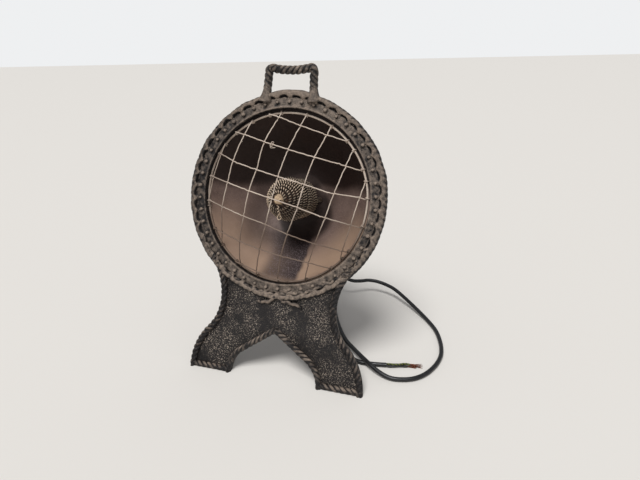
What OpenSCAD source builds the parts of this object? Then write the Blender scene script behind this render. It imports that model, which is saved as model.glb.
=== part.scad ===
// Electric bowl heater of about 1920. A cast front frame leans back on two splayed legs and a folding
// rear leg. It holds a spun copper bowl, a beehive element in a porcelain lampholder and a domed wire guard.
// X is to the right, Y to the back and Z up. The soles stand on Z = 0, under the middle of the heater.

/* [Front casting] */
// Backward lean of the frame from upright, in degrees
lean = 18; // [12:1:22]
// Outside diameter of the ring
ring_d = 282; // [276:1:296]
// Diameter of the ring's opening
opening_d = 240; // [226:1:244]
// Height of the ring's centre above the soles, measured along the frame
ring_height = 259; // [252:1:280]
// Thickness of the casting behind its front plane
casting_t = 11; // [9:0.5:14]
// Depth of the leg panel's face behind the front plane
panel_recess = 4.5; // [3:0.5:6]
// Diameter of the rope moulding along the edges
rope_d = 9; // [7:0.5:10]
// Length of one strand along the rope moulding
rope_lay = 9.6; // [7:0.1:12]
// Number of scallops and beads round the ring
scallops = 46; // [36:1:50]
// Radius of the circle that the beads stand on
bead_circle_r = 125.5; // [125:0.1:126]
// Radius of one bead
bead_r = 2.2; // [1.6:0.1:2.3]

/* [Legs] */
// Width across the outside of both feet
foot_span = 262; // [240:1:280]
// Width of the gap between the feet
foot_gap = 129; // [110:1:140]
// Width across the waist, where the legs leave the ring
waist_w = 172; // [160:1:180]
// Height of the waist above the soles
waist_height = 112; // [104:1:120]
// Radius of the hollow curve below the waist
flare_r = 68; // [60:1:80]
// Height of the point of the arch between the legs
arch_height = 67; // [60:1:72]
// Slope of the arch's straight sides, in degrees
arch_slope = 35; // [30:1:38]

/* [Carry handle] */
// Width across the middle of the handle's posts
handle_w = 66; // [56:1:80]
// Height of the middle of the grip above the ring's edge
handle_rise = 32; // [28:1:44]
// Diameter of the handle's rope
handle_rope_d = 11.5; // [9:0.5:13]
// Sag of the grip at its middle
handle_sag = 3; // [1:0.5:5]

/* [Bowl] */
// Depth of the bowl behind the casting
bowl_depth = 73; // [64:1:84]
// Thickness of the spun copper
bowl_t = 1.2; // [0.8:0.1:2]
// Width of the bowl's flange beyond its mouth
flange_w = 15; // [13:0.5:17]
// Radius of the flat floor round the lampholder
floor_r = 37; // [35:0.5:40]
// Diameter of the screws that hold the bowl and the bracket
screw_d = 4; // [3:0.5:5]

/* [Guard] */
// Rise of the dome in front of its hoop
dome_rise = 38; // [34:1:48]
// Diameter of the hoop's wire
hoop_wire_d = 3; // [2:0.5:3.5]
// Diameter of the grid's wires
wire_d = 1.8; // [1.2:0.1:2.4]
// Spacing of the grid's wires
wire_pitch = 34.5; // [30:0.5:36]
// Turn of the grid from upright, in degrees
grid_turn = 14; // [0:1:30]
// Shift of the upright wires to one side of the middle
upright_shift = 4; // [-8:0.5:8]
// Shift of the cross wires below the middle
cross_shift = 5.6; // [-8:0.2:8]

/* [Element] */
// Radius of the beehive former at its shoulder
shoulder_r = 25.5; // [22:0.5:27]
// Radius of the former at its back
heel_r = 20.5; // [19:0.5:22]
// Distance of the tip in front of the casting's front plane
tip_out = 14; // [6:1:20]
// Length of the former's front cone
cone_length = 37; // [32:1:42]
// Length of the former behind its shoulder
barrel_length = 48; // [42:1:52]
// Radius of the bare knob at the tip
knob_r = 7; // [5:0.5:8]
// Outside diameter of the resistance coil
coil_d = 3.6; // [3:0.1:4]
// Number of turns of the coil round the former
coil_turns = 15; // [12:1:16]

/* [Lampholder and rear cover] */
// Radius of the brass screw shell on the element
shell_r = 13; // [11:0.5:13.5]
// Length of the screw shell
shell_length = 24; // [20:1:26]
// Outside radius of the porcelain lampholder
holder_r = 21; // [20:0.5:23]
// Outside radius of the rear cover
cover_r = 46; // [44:0.5:50]
// Length of the rear cover behind the bowl's floor
cover_length = 54; // [48:1:64]
// Thickness of the cover's sheet
cover_t = 1.2; // [0.8:0.1:2]
// Diameter of the mains cord
cord_d = 6.4; // [5:0.1:8]
// Distance of the cord's outlet below the middle of the cover
outlet_drop = 24; // [20:1:26]

/* [Rear leg] */
// Distance of the leg's hinge below the middle of the ring, along the frame
hinge_drop = 155; // [151:1:161]
// Distance of the hinge behind the casting
hinge_out = 13; // [12:0.5:16]
// Diameter of the hinge pin
pin_d = 6; // [5:0.5:7]
// Width of the leg
leg_w = 12; // [10:0.5:16]
// Thickness of the leg
leg_t = 9; // [7:0.5:11]
// Distance of the rear foot behind the front soles
foot_back = 150; // [135:1:165]
// Bow of the leg away from a straight line
leg_bow = 10; // [6:1:14]

/* [Hidden] */
$fn = 96;

// Fits
fit_gap = 0.3;      // between pieces that do not touch
running_gap = 0.05; // radial, pin in bore
hole_gap = 0.2;     // radial, screw in its clearance hole
seat_gap = 0.1;     // between a machined piece and the rough casting

// Front casting
ring_r = ring_d / 2;
opening_r = opening_d / 2;
rope_r = rope_d / 2;
rope_z = 1 - rope_r;
rope_relief = 0.09;
band_recess = 2;
cast_back = -casting_t;
ridge_r = bead_circle_r + 3.5;
crest_r = ridge_r + 2.2;
handle_r = handle_rope_d / 2;

// Legs: circles that touch each other in turn, from the ring down to the sole
foot_out = foot_span / 2;
foot_in = foot_gap / 2;
waist = waist_w / 2;
flare_x = waist + flare_r;
neck_r = (waist ^ 2 + (ring_height - waist_height) ^ 2 - ring_r ^ 2) / (2 * (ring_r - waist));
knee_r = ((flare_x - foot_out) ^ 2 + waist_height ^ 2 - flare_r ^ 2) / (2 * (flare_r - flare_x + foot_out));
arch_r = (arch_height * cos(arch_slope) - foot_in * sin(arch_slope)) / (1 - sin(arch_slope));
neck_angle = atan2(waist_height - ring_height, waist + neck_r);
knee_angle = atan2(waist_height, flare_x - foot_out + knee_r);
sole_angle = asin(rope_r / (knee_r - rope_r));
heel_angle = asin(rope_r / (arch_r + rope_r));

// Bowl
mouth_r = opening_r - 4;
flange_r = mouth_r + flange_w;
floor_n = cast_back - bowl_depth;
floor_back = floor_n - bowl_t;
bowl_hole_r = holder_r + 2;
bowl_steps = 22;
bowl_screw_r = (opening_r + flange_r) / 2;
screw_r = screw_d / 2;
screw_head_r = screw_d;
screw_head_t = 0.65 * screw_d;
screw_bite = casting_t - band_recess - 2.5;

// Guard
hoop_wire_r = hoop_wire_d / 2;
hoop_r = opening_r - hoop_wire_r - fit_gap;
hoop_n = cast_back + hoop_wire_r + seat_gap;
wire_r = wire_d / 2;
dome_r = (hoop_r ^ 2 + dome_rise ^ 2) / (2 * dome_rise);
inner_layer = hoop_wire_r + wire_r + fit_gap;
outer_layer = inner_layer + wire_d + fit_gap;
grid_reach = 3;

// Element and lampholder
shoulder_n = tip_out - cone_length;
heel_n = shoulder_n - barrel_length;
coil_r = coil_d / 2;
coil_seat = coil_r + fit_gap;
coil_sides = 6;
coil_rings = 24;
coil_start = 0.1;
coil_end = 0.97;
shell_back = heel_n - shell_length;
holder_wall = 3.2;
holder_bore_r = shell_r + 1.8;
holder_front = heel_n - 1.5;
holder_back = shell_back - 14;
holder_flange_r = floor_r - 2;
holder_flange_t = 6;
flange_back = floor_back - holder_flange_t;
holder_pcd_r = (holder_flange_r + holder_r) / 2;
nut_t = 3.2;
nut_r = 3.9;
pillar_r = 4;
cover_back = floor_back - cover_length;
cover_round = 6;
vent_count = 16;
vent_r = 2.5;
lead_r = 1.2;
terminal_x = 9;

// Cord
cord_r = cord_d / 2;
bush_r = cord_r + 3;
sleeve_length = 22;
sleeve_end = cover_back - sleeve_length;
core_r = 1.4;
strand_r = 0.7;
cord_sides = 10;
cord_step = 15.5;

// Rear leg, in the plane across its hinge
pin_r = pin_d / 2;
eye_r = pin_r + 5;
hinge_n = cast_back - hinge_out;
hinge_height = ring_height - hinge_drop;
ear_t = 4;
ear_in = leg_w / 2 + fit_gap;
ear_r = pin_r + 4;
plate_t = 3.5;
plate_w = 58;
plate_h = 22;
bracket_screw_x = 22;
hinge_y = hinge_height * sin(lean) - hinge_n * cos(lean);
hinge_z = hinge_height * cos(lean) + hinge_n * sin(lean);
pad_h = 6;
leg_chord = norm([foot_back - hinge_y, hinge_z - pad_h]);
leg_angle = atan2(pad_h - hinge_z, foot_back - hinge_y);
bow_r = (leg_chord ^ 2 / 4 + leg_bow ^ 2) / (2 * leg_bow);
foot_pad_w = 32;
foot_pad_l = 22;
stop_r = 2.5;
stop_along = 11;
bow_angle = asin(leg_chord / 2 / bow_r);
stop_turn = stop_along / bow_r * 180 / PI;

// The heater's middle from front to back, which lies over the origin
front_y = 0;
back_y = (ring_height + cover_r - cover_round) * sin(lean) - (cover_back + cover_round) * cos(lean) + cover_round;
middle_y = (front_y + back_y) / 2;

// ---- Placing ----

// From the casting's own plane (x right, y up along the frame, z to the front) to the standing heater
module on_frame() {
    translate([0, -middle_y, 0]) rotate([90 - lean, 0, 0]) children();
}

// The same, from the middle of the ring
module on_axis() {
    on_frame() translate([0, ring_height, 0]) children();
}

module turned(from, to, r) {
    translate([0, 0, to]) cylinder(r = r, h = from - to);
}

// ---- Paths made of arcs [x, y, radius, start, sweep] and lines [x0, y0, x1, y1] ----

function is_arc(p) = len(p) == 5;
function piece_length(p) = is_arc(p) ? abs(p[4]) * PI / 180 * p[2] : norm([p[2] - p[0], p[3] - p[1]]);
function path_length(path, i = 0) = i == len(path) ? 0 : piece_length(path[i]) + path_length(path, i + 1);
function on_arc(p, a) = [p[0] + p[2] * cos(a), p[1] + p[2] * sin(a), a + 90 * sign(p[4])];
function on_line(p, f) =
    [p[0] + (p[2] - p[0]) * f, p[1] + (p[3] - p[1]) * f, atan2(p[3] - p[1], p[2] - p[0])];
function on_piece(p, s) =
    is_arc(p) ? on_arc(p, p[3] + p[4] * s / piece_length(p)) : on_line(p, s / piece_length(p));
function on_path(path, s, i = 0) =
    i == len(path) - 1 || s <= piece_length(path[i])
        ? on_piece(path[i], s)
        : on_path(path, s - piece_length(path[i]), i + 1);
function flipped(p) = is_arc(p) ? [-p[0], p[1], p[2], 180 - p[3] - p[4], p[4]] : [-p[2], p[3], -p[0], p[1]];
function other_side(path) = [for (i = [len(path) - 1:-1:0]) flipped(path[i])];

// The middle of the rope moulding, right half, from the ring down to the sole and up to the arch
neck_arc = [waist + neck_r, waist_height, neck_r + rope_r, 180 + neck_angle, -neck_angle];
flare_arc = [flare_x, waist_height, flare_r + rope_r, 180, knee_angle];
knee_arc = [foot_out - knee_r, 0, knee_r - rope_r, knee_angle, sole_angle - knee_angle];
ring_arc = [0, ring_height, ring_r - rope_r, 180 - neck_angle, 2 * neck_angle - 180];
arch_arc = [foot_in - arch_r, 0, arch_r + rope_r, heel_angle, 90 - arch_slope - heel_angle];
sole_start = on_piece(knee_arc, piece_length(knee_arc));
sole_end = on_piece(arch_arc, 0);
arch_foot = on_piece(arch_arc, piece_length(arch_arc));
sole_line = [sole_start[0], sole_start[1], sole_end[0], sole_end[1]];
arch_line = [arch_foot[0], arch_foot[1], 0, arch_height + rope_r / cos(arch_slope)];
leg_side = [neck_arc, flare_arc, knee_arc];
outer_edge = concat(other_side(leg_side), [ring_arc], leg_side);
arch_side = [arch_arc, arch_line];
outline = concat(outer_edge, [sole_line], arch_side, other_side(arch_side), [flipped(sole_line)]);

// ---- Swept solids ----

// Faces of a tube of rings that follow one another; clockwise from outside
function tube_faces(rings, sides) = concat(
    [[for (j = [0:sides - 1]) j]],
    [[for (j = [0:sides - 1]) rings * sides - 1 - j]],
    [for (k = [0:rings - 2], j = [0:sides - 1]) [
        k * sides + j, (k + 1) * sides + (j + 1) % sides, k * sides + (j + 1) % sides
    ]],
    [for (k = [0:rings - 2], j = [0:sides - 1]) [
        k * sides + j, (k + 1) * sides + j, (k + 1) * sides + (j + 1) % sides
    ]]
);

// Rope along a flat path: high and low points alternate, so that its strands run slantwise.
// Spokes are the angles of its corners; the casting hides the underside of the moulding.
moulding = [0, 55, 110, 165, 270];
round_rope = [for (j = [0:5]) 60 * j + 30];
module rope(path, r, z, lay = rope_lay, spokes = moulding) {
    sides = len(spokes);
    whole = path_length(path);
    last = 2 * round(whole / lay);
    points = [
        for (k = [0:last], j = [0:sides - 1])
            let (
                p = on_path(path, whole * k / last),
                a = spokes[j],
                q = r * (1 + ((k + j) % 2 == 0 ? rope_relief : -rope_relief))
            )
            [p[0] - q * cos(a) * sin(p[2]), p[1] + q * cos(a) * cos(p[2]), z + q * sin(a)]
    ];
    polyhedron(points, tube_faces(last + 1, sides));
}

// Round tube through a list of points in space, its rings held level by a fixed side direction
function unit(v) = v / norm(v);
function heading(points, i) = unit(points[min(i + 1, len(points) - 1)] - points[max(i - 1, 0)]);
// Each ring's first spoke is the one before it, turned square to the new heading
function spokes(points, i, last) =
    i == len(points)
        ? []
        : let (t = heading(points, i), s = unit(last - (last * t) * t)) concat([s], spokes(points, i + 1, s));
module tube(points, r, sides, first = [1, 0, 0]) {
    side_of = spokes(points, 0, first);
    rings = [
        for (i = [0:len(points) - 1], j = [0:sides - 1])
            let (t = heading(points, i), s = side_of[i], a = 360 * (j + 0.5) / sides)
            points[i] + r * (cos(a) * s + sin(a) * cross(t, s))
    ];
    polyhedron(rings, tube_faces(len(points), sides));
}

// Smooth curve through hand-placed points
function bend(a, b, c, d, t) =
    0.5 * (2 * b + (c - a) * t + (2 * a - 5 * b + 4 * c - d) * t ^ 2 + (3 * b - a - 3 * c + d) * t ^ 3);
function curve(p, steps) = [
    for (i = [0:len(p) - 2], k = [0:steps - 1])
        bend(p[max(i - 1, 0)], p[i], p[i + 1], p[min(i + 2, len(p) - 1)], k / steps),
    p[len(p) - 1]
];

// ---- Front casting ----

module outline_shape() {
    whole = path_length(outline);
    steps = round(whole / 11);
    offset(delta = rope_r * 0.5)
        polygon([for (k = [0:steps - 1]) let (p = on_path(outline, whole * k / steps)) [p[0], p[1]]]);
}

module scallop_ridge() {
    per_scallop = 4;
    count = scallops * per_scallop;
    top = 0.6;
    half = 1.1;
    buried = -band_recess - 1;
    points = [
        for (k = [0:count - 1], j = [0:2])
            let (
                a = 90 + 360 * (k / count),
                lift = abs(sin(180 * k / per_scallop)),
                r = ridge_r + (crest_r - ridge_r) * lift + [-half, 0, half][j]
            )
            [r * cos(a), ring_height + r * sin(a), j == 1 ? top : buried]
    ];
    n = count * 3;
    polyhedron(points, concat(
        [for (k = [0:count - 1], j = [0:2])
            [k * 3 + j, (k * 3 + 3 + (j + 1) % 3) % n, k * 3 + (j + 1) % 3]],
        [for (k = [0:count - 1], j = [0:2])
            [k * 3 + j, (k * 3 + 3 + j) % n, (k * 3 + 3 + (j + 1) % 3) % n]]
    ));
}

module beads() {
    for (k = [0:scallops - 1])
        translate([0, ring_height, 0]) rotate(90 + 360 * k / scallops) translate([bead_circle_r, 0, 0])
            hull() translate([0, 0, -band_recess - 1]) cylinder(r1 = bead_r, r2 = bead_r * 0.5, h = 3.4, $fn = 5);
}

// The band's two ends cross below the ring like a scarf
module crossed_ends() {
    arc = [0, ring_height, ring_r - rope_r, 180 - neck_angle, 84 + neck_angle];
    from = on_piece(arc, piece_length(arc));
    drop = ring_height - ring_r - 9;
    tail = [from[0], from[1], 38, drop];
    end_r = rope_r * 0.9;
    rope([arc, tail], end_r, -panel_recess - 0.35);
    rope(other_side([arc, tail]), end_r, -panel_recess + 0.45);
}

module handle() {
    corner = 6;
    top = ring_height + ring_r + handle_rise;
    half = handle_w / 2;
    root = ring_height + sqrt(ring_r ^ 2 - half ^ 2) - rope_d;
    span = half - corner;
    sag_r = (span ^ 2 + handle_sag ^ 2) / (2 * handle_sag);
    sag_turn = asin(span / sag_r);
    post = [half, top - corner, half + 1.5, root];
    bend_arc = [half - corner, top - corner, corner, 90, -90];
    grip = [0, top - handle_sag + sag_r, sag_r, 270 - sag_turn, 2 * sag_turn];
    right = [bend_arc, post];
    rope(concat(other_side(right), [grip], right), handle_r, 1.5 - handle_r, rope_lay * 1.1, round_rope);
    for (side = [-1, 1])
        hull() {
            translate([side * (half + 1.5), root + 14, 1.5 - handle_r]) sphere(r = handle_r, $fn = 8);
            translate([side * (half + 5), root + 4.4, 1.5 - handle_r]) sphere(r = handle_r, $fn = 8);
            translate([side * (half - 5), root + 6.2, 1.5 - handle_r]) sphere(r = handle_r, $fn = 8);
        }
}

module blind_hole(r, depth) {
    translate([0, 0, cast_back - 1]) cylinder(r = r, h = depth + 1, $fn = 16);
}

module front_frame() {
    color([0.19, 0.17, 0.16]) on_frame() difference() {
        union() {
            difference() {
                union() {
                    translate([0, 0, cast_back]) linear_extrude(casting_t - panel_recess) outline_shape();
                    translate([0, ring_height, cast_back])
                        cylinder(r = ring_r - rope_r - 2, h = casting_t - band_recess, $fn = 90);
                }
                translate([0, ring_height, cast_back - 1]) cylinder(r = opening_r, h = casting_t + 3, $fn = 90);
            }
            rope(outer_edge, rope_r, rope_z);
            rope([sole_line], rope_r, rope_z);
            rope([flipped(sole_line)], rope_r, rope_z);
            rope(arch_side, rope_r, rope_z);
            rope(other_side(arch_side), rope_r, rope_z);
            crossed_ends();
            scallop_ridge();
            beads();
            handle();
        }
        for (k = [0:3])
            translate([0, ring_height, 0]) rotate(45 + 90 * k) translate([bowl_screw_r, 0, 0])
                blind_hole(screw_r + hole_gap, screw_bite + 0.5);
        for (side = [-1, 1])
            translate([side * bracket_screw_x, hinge_height, 0])
                blind_hole(screw_r + hole_gap, casting_t - panel_recess - 1.5);
        rotate([lean - 90, 0, 0]) translate([-foot_span, -foot_span, -40]) cube([2 * foot_span, 2 * foot_span, 40]);
    }
}

// ---- Bowl ----

// Distance of the bowl's inside from the front plane, at a radius
function bowl_n(r) = floor_n + bowl_depth * (max(r - floor_r, 0) / (mouth_r - floor_r)) ^ 1.75;

module reflector_bowl() {
    radii = [for (k = [0:bowl_steps]) floor_r + (mouth_r - floor_r) * k / bowl_steps];
    inside = [for (r = radii) [r, bowl_n(r)]];
    outside = [for (k = [bowl_steps:-1:0]) [radii[k] + bowl_t * k / bowl_steps, bowl_n(radii[k]) - bowl_t]];
    color([0.48, 0.40, 0.35]) on_axis() difference() {
        rotate_extrude() polygon(concat(
            [[bowl_hole_r, floor_back], [bowl_hole_r, floor_n]],
            inside,
            [[flange_r, cast_back], [flange_r, cast_back - bowl_t]],
            outside
        ));
        for (k = [0:3]) rotate(45 + 90 * k) translate([bowl_screw_r, 0, 0])
            turned(cast_back + 1, cast_back - bowl_t - 1, screw_r + hole_gap);
        holder_places() turned(floor_n + 1, floor_back - 1, screw_r + hole_gap);
    }
}

module cheese_head(n, shank) {
    turned(n, n - screw_head_t, screw_head_r);
    turned(n + shank, n - 0.1, screw_r);
}

module bowl_screws() {
    color([0.35, 0.33, 0.30]) on_axis()
        for (k = [0:3]) rotate(45 + 90 * k) translate([bowl_screw_r, 0, 0]) difference() {
            cheese_head(cast_back - bowl_t, screw_bite + bowl_t);
            translate([-screw_head_r, -0.5, cast_back - bowl_t - screw_head_t - 1])
                cube([2 * screw_head_r, 1, 2]);
        }
}

// ---- Guard ----

module guard_hoop() {
    color([0.62, 0.57, 0.52]) on_axis() translate([0, 0, hoop_n])
        rotate_extrude() translate([hoop_r, 0]) circle(r = hoop_wire_r);
}

// One wire of the dome, bent to a circle, at a distance from the middle and in its layer
module dome_wire(offset, layer) {
    sphere_r = dome_r + layer;
    arc_r = sqrt(sphere_r ^ 2 - offset ^ 2);
    reach = asin(sqrt(hoop_r ^ 2 - offset ^ 2) / arc_r);
    translate([0, offset, hoop_n + dome_rise - dome_r]) rotate([90, 0, 0])
        rotate(90 - reach) rotate_extrude(angle = 2 * reach) translate([arc_r, 0]) circle(r = wire_r);
}

module guard_upright_wires() {
    color([0.66, 0.60, 0.54]) on_axis() rotate(90 - grid_turn)
        for (k = [-grid_reach:grid_reach]) dome_wire(k * wire_pitch + upright_shift, inner_layer);
}

module guard_cross_wires() {
    color([0.70, 0.64, 0.57]) on_axis() rotate(-grid_turn)
        for (k = [-grid_reach:grid_reach]) dome_wire(k * wire_pitch - cross_shift, outer_layer);
}

// ---- Element ----

// Radius of the former along its axis: knob, swelling cone, shoulder bead and tapering barrel
function cone_radius(f) = knob_r + (shoulder_r - knob_r) * sin(90 * f) ^ 0.85;
function barrel_radius(f) = shoulder_r - 1 + (heel_r - shoulder_r + 1) * f;
// Width of the bead round the shoulder
bead_w = 3.4;
cone_top = tip_out - knob_r * 0.75;

module element_former() {
    steps = 12;
    knob = [for (a = [90:-15:0]) [knob_r * cos(a), cone_top + knob_r * 0.75 * sin(a)]];
    cone = [
        for (k = [1:steps]) let (f = k / steps) [cone_radius(f), cone_top - (cone_top - shoulder_n) * f]
    ];
    color([0.80, 0.71, 0.58]) on_axis() rotate_extrude() polygon(concat(
        knob, cone,
        [[shoulder_r + 1.2, shoulder_n - 0.8], [shoulder_r + 1.2, shoulder_n - 2.6]],
        [[barrel_radius(0), shoulder_n - bead_w], [heel_r, heel_n], [0, heel_n]]
    ));
}

// The coil's route: down the cone in one spiral, past the shoulder bead and along the barrel
cone_share = 0.42;
wound_cone = cone_top - shoulder_n;
function coil_place(f) =
    f < cone_share
        ? let (
            g = coil_start + (coil_end - coil_start) * f / cone_share,
            slope = (cone_radius(g + 0.01) - cone_radius(g - 0.01)) / 0.02,
            off = (coil_seat + 0.4) / norm([slope, wound_cone])
        ) [cone_radius(g) + off * wound_cone, cone_top - wound_cone * g + off * slope]
        : let (
            g = (f - cone_share) / (1 - cone_share),
            over = max(0, min(1, (0.2 - g) * 12)),
            n = shoulder_n + (1 - coil_end) * wound_cone * (1 - g) - barrel_length * 0.93 * g,
            h = max(0, (shoulder_n - bead_w - n) / (barrel_length - bead_w))
        ) [barrel_radius(h) + coil_seat + 0.2 + 3 * over, n];
coil_points = [
    for (k = [0:coil_turns * coil_rings])
        let (p = coil_place(k / (coil_turns * coil_rings)), a = 360 * k / coil_rings)
        [p[0] * cos(a), p[0] * sin(a), p[1]]
];
// Least clear distance between one turn and the next
coil_gap = min([
    for (k = [0:len(coil_points) - 1 - coil_rings], m = [coil_rings - 2:coil_rings + 2])
        if (k + m < len(coil_points)) norm(coil_points[k + m] - coil_points[k])
]) - coil_d;
echo(coil_gap = coil_gap);

module element_coil() {
    color([0.56, 0.50, 0.44]) on_axis() tube(coil_points, coil_r, coil_sides, [1, 0, 0]);
}

module element_shell() {
    ridges = 5;
    pitch = (shell_length - 5) / ridges;
    thread = [
        for (k = [0:ridges - 1], s = [0:1]) [shell_r - (s == 0 ? 0.9 : 0), heel_n - 3 - pitch * (k + s / 2)]
    ];
    color([0.70, 0.55, 0.28]) on_axis() rotate_extrude() polygon(concat(
        [[0, heel_n], [shell_r - 0.9, heel_n]], thread,
        [[shell_r - 0.9, shell_back + 2], [shell_r - 3, shell_back], [0, shell_back]]
    ));
}

module shell_insulator() {
    color([0.16, 0.13, 0.12]) on_axis() rotate_extrude() polygon([
        [0, shell_back], [shell_r - 3, shell_back], [5.5, shell_back - 3], [0, shell_back - 3]
    ]);
}

module element_contact() {
    color([0.70, 0.55, 0.28]) on_axis() turned(shell_back - 3, shell_back - 4.5, 4);
}

// ---- Lampholder ----

module holder_places() {
    for (k = [0:3]) rotate(90 * k) translate([holder_pcd_r, 0, 0]) children();
}

module lampholder() {
    color([0.30, 0.27, 0.25]) on_axis() difference() {
        rotate_extrude() polygon([
            [0, holder_back], [holder_r - 2, holder_back], [holder_r, holder_back + 2],
            [holder_r, flange_back], [holder_flange_r, flange_back], [holder_flange_r, floor_back],
            [holder_r, floor_back], [holder_r, holder_front - 2], [holder_r - 2, holder_front],
            [holder_bore_r + 1, holder_front], [holder_bore_r, holder_front - 1],
            [holder_bore_r, shell_back - 9], [0, shell_back - 9]
        ]);
        holder_places() turned(floor_back + 1, flange_back - 1, screw_r + hole_gap);
        for (side = [-1, 1]) translate([side * terminal_x, 0, 0])
            turned(holder_back + 3.5, holder_back - 1, 1.7);
    }
}

module holder_shell() {
    wall = 0.6;
    outer = holder_bore_r - fit_gap;
    color([0.66, 0.52, 0.27]) on_axis() rotate_extrude() polygon([
        [outer, holder_front - 3], [outer, shell_back - 8.9], [5, shell_back - 8.9],
        [5, shell_back - 8.9 + wall], [outer - wall, shell_back - 8.9 + wall], [outer - wall, holder_front - 3]
    ]);
}

// Sprung tongue that the element's contact presses on
module holder_spring() {
    color([0.66, 0.52, 0.27]) on_axis() {
        turned(shell_back - 7.4, shell_back - 9, 4);
        turned(shell_back - 4.8, shell_back - 7.4, 1.6);
        turned(shell_back - 4.6, shell_back - 5.2, 4);
    }
}

module holder_screws() {
    color([0.42, 0.38, 0.33]) on_axis() holder_places() difference() {
        union() {
            turned(floor_n + screw_head_t, floor_n, screw_head_r);
            turned(floor_n + 0.1, flange_back - nut_t - 1.5, screw_r);
        }
        translate([-screw_head_r, -0.5, floor_n + screw_head_t - 1]) cube([2 * screw_head_r, 1, 2]);
    }
}

module holder_nuts() {
    color([0.42, 0.38, 0.33]) on_axis() for (k = [0:3]) if (k % 2 == 0)
        rotate(90 * k) translate([holder_pcd_r, 0, 0]) difference() {
            translate([0, 0, flange_back - nut_t]) cylinder(r = nut_r, h = nut_t, $fn = 6);
            turned(flange_back + 1, flange_back - nut_t - 1, screw_r + running_gap);
        }
}

// Two long nuts that reach back to the cover
module cover_pillars() {
    color([0.42, 0.38, 0.33]) on_axis() for (k = [1, 3])
        rotate(90 * k) translate([holder_pcd_r, 0, 0]) difference() {
            translate([0, 0, cover_back + cover_t]) cylinder(r = pillar_r, h = flange_back - cover_back - cover_t, $fn = 6);
            turned(flange_back + 1, flange_back - nut_t - 2.5, screw_r + running_gap);
            turned(cover_back + cover_t + 8, cover_back, screw_r - 0.5 + running_gap);
        }
}

// ---- Rear cover ----

module rear_cover() {
    in_r = cover_r - cover_t;
    front = floor_back - 0.2;
    bend_in = cover_round - cover_t;
    color([0.27, 0.25, 0.24]) on_axis() difference() {
        rotate_extrude() union() {
            translate([in_r, cover_back + cover_round]) square([cover_t, front - cover_back - cover_round]);
            translate([0, cover_back]) square([cover_r - cover_round, cover_t]);
            translate([cover_r - cover_round, cover_back + cover_round]) intersection() {
                difference() {
                    circle(r = cover_round);
                    circle(r = bend_in);
                }
                translate([0, -cover_round]) square(cover_round);
            }
        }
        for (k = [0:vent_count - 1]) rotate(360 * (k + 0.5) / vent_count)
            translate([0, 0, (front + cover_back) / 2]) rotate([0, 90, 0])
                translate([0, 0, cover_r - 8]) cylinder(r = vent_r, h = 16);
        for (side = [-1, 1]) translate([0, side * holder_pcd_r, 0])
            turned(cover_back + cover_t + 1, cover_back - 1, screw_r - 0.5 + hole_gap);
        translate([0, -outlet_drop, 0]) outlet_hole();
    }
}

module outlet_hole() {
    translate([outlet_x, 0, 0]) turned(cover_back + cover_t + 1, cover_back - 1, bush_r - 1.5 + hole_gap);
}
outlet_x = 16;

module cover_screws() {
    color([0.42, 0.38, 0.33]) on_axis() for (side = [-1, 1])
        translate([0, side * holder_pcd_r, 0]) difference() {
            union() {
                turned(cover_back, cover_back - screw_head_t, screw_head_r - 0.5);
                turned(cover_back + cover_t + 7, cover_back - 0.1, screw_r - 0.5);
            }
            translate([-screw_head_r, -0.5, cover_back - screw_head_t - 1]) cube([2 * screw_head_r, 1, 2]);
        }
}

// ---- Wiring ----

module terminal_screws() {
    color([0.70, 0.55, 0.28]) on_axis() for (side = [-1, 1]) translate([side * terminal_x, 0, 0]) {
        turned(holder_back + 3, holder_back - 3, 1.5);
        turned(holder_back - 3, holder_back - 5, 3.4);
    }
}

// A straight lead from the bush to its terminal
module lead(to) {
    from = [outlet_x + to[3], -outlet_drop, cover_back + cover_t + 2.4];
    end = [to[0], to[1], to[2]];
    tube([from, (from + end) / 2, end], lead_r, 8, [0, 1, 0]);
}

module live_lead() {
    color([0.35, 0.20, 0.13]) on_axis()
        lead([terminal_x + 3.8, -1.5, holder_back - 1.7, 1.2]);
}

module neutral_lead() {
    color([0.20, 0.30, 0.50]) on_axis()
        lead([-terminal_x + 3.5, -1.5, holder_back - 1.7, -1.6]);
}

module earth_lead() {
    color([0.45, 0.52, 0.15]) on_axis()
        lead([pillar_r - 1, -holder_pcd_r + 5, flange_back - 18, -4.4]);
}

// Flanged rubber bush with a tapered sleeve
module cord_bush() {
    color([0.07, 0.07, 0.07]) on_axis() translate([outlet_x, -outlet_drop, 0]) rotate_extrude() polygon([
        [cord_r + running_gap, cover_back + cover_t + 2], [bush_r, cover_back + cover_t + 2],
        [bush_r, cover_back + cover_t], [bush_r - 1.5, cover_back + cover_t], [bush_r - 1.5, cover_back],
        [bush_r, cover_back], [bush_r - 0.5, cover_back - 4], [cord_r + 0.9, sleeve_end],
        [cord_r + running_gap, sleeve_end]
    ]);
}

// Where the cord leaves the sleeve: its place and its heading on the standing heater
outlet_up = ring_height - outlet_drop;
cord_out = [
    outlet_x,
    outlet_up * sin(lean) - sleeve_end * cos(lean) - middle_y,
    outlet_up * cos(lean) + sleeve_end * sin(lean)
];
cord_aim = [0, cos(lean), -sin(lean)];

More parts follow.
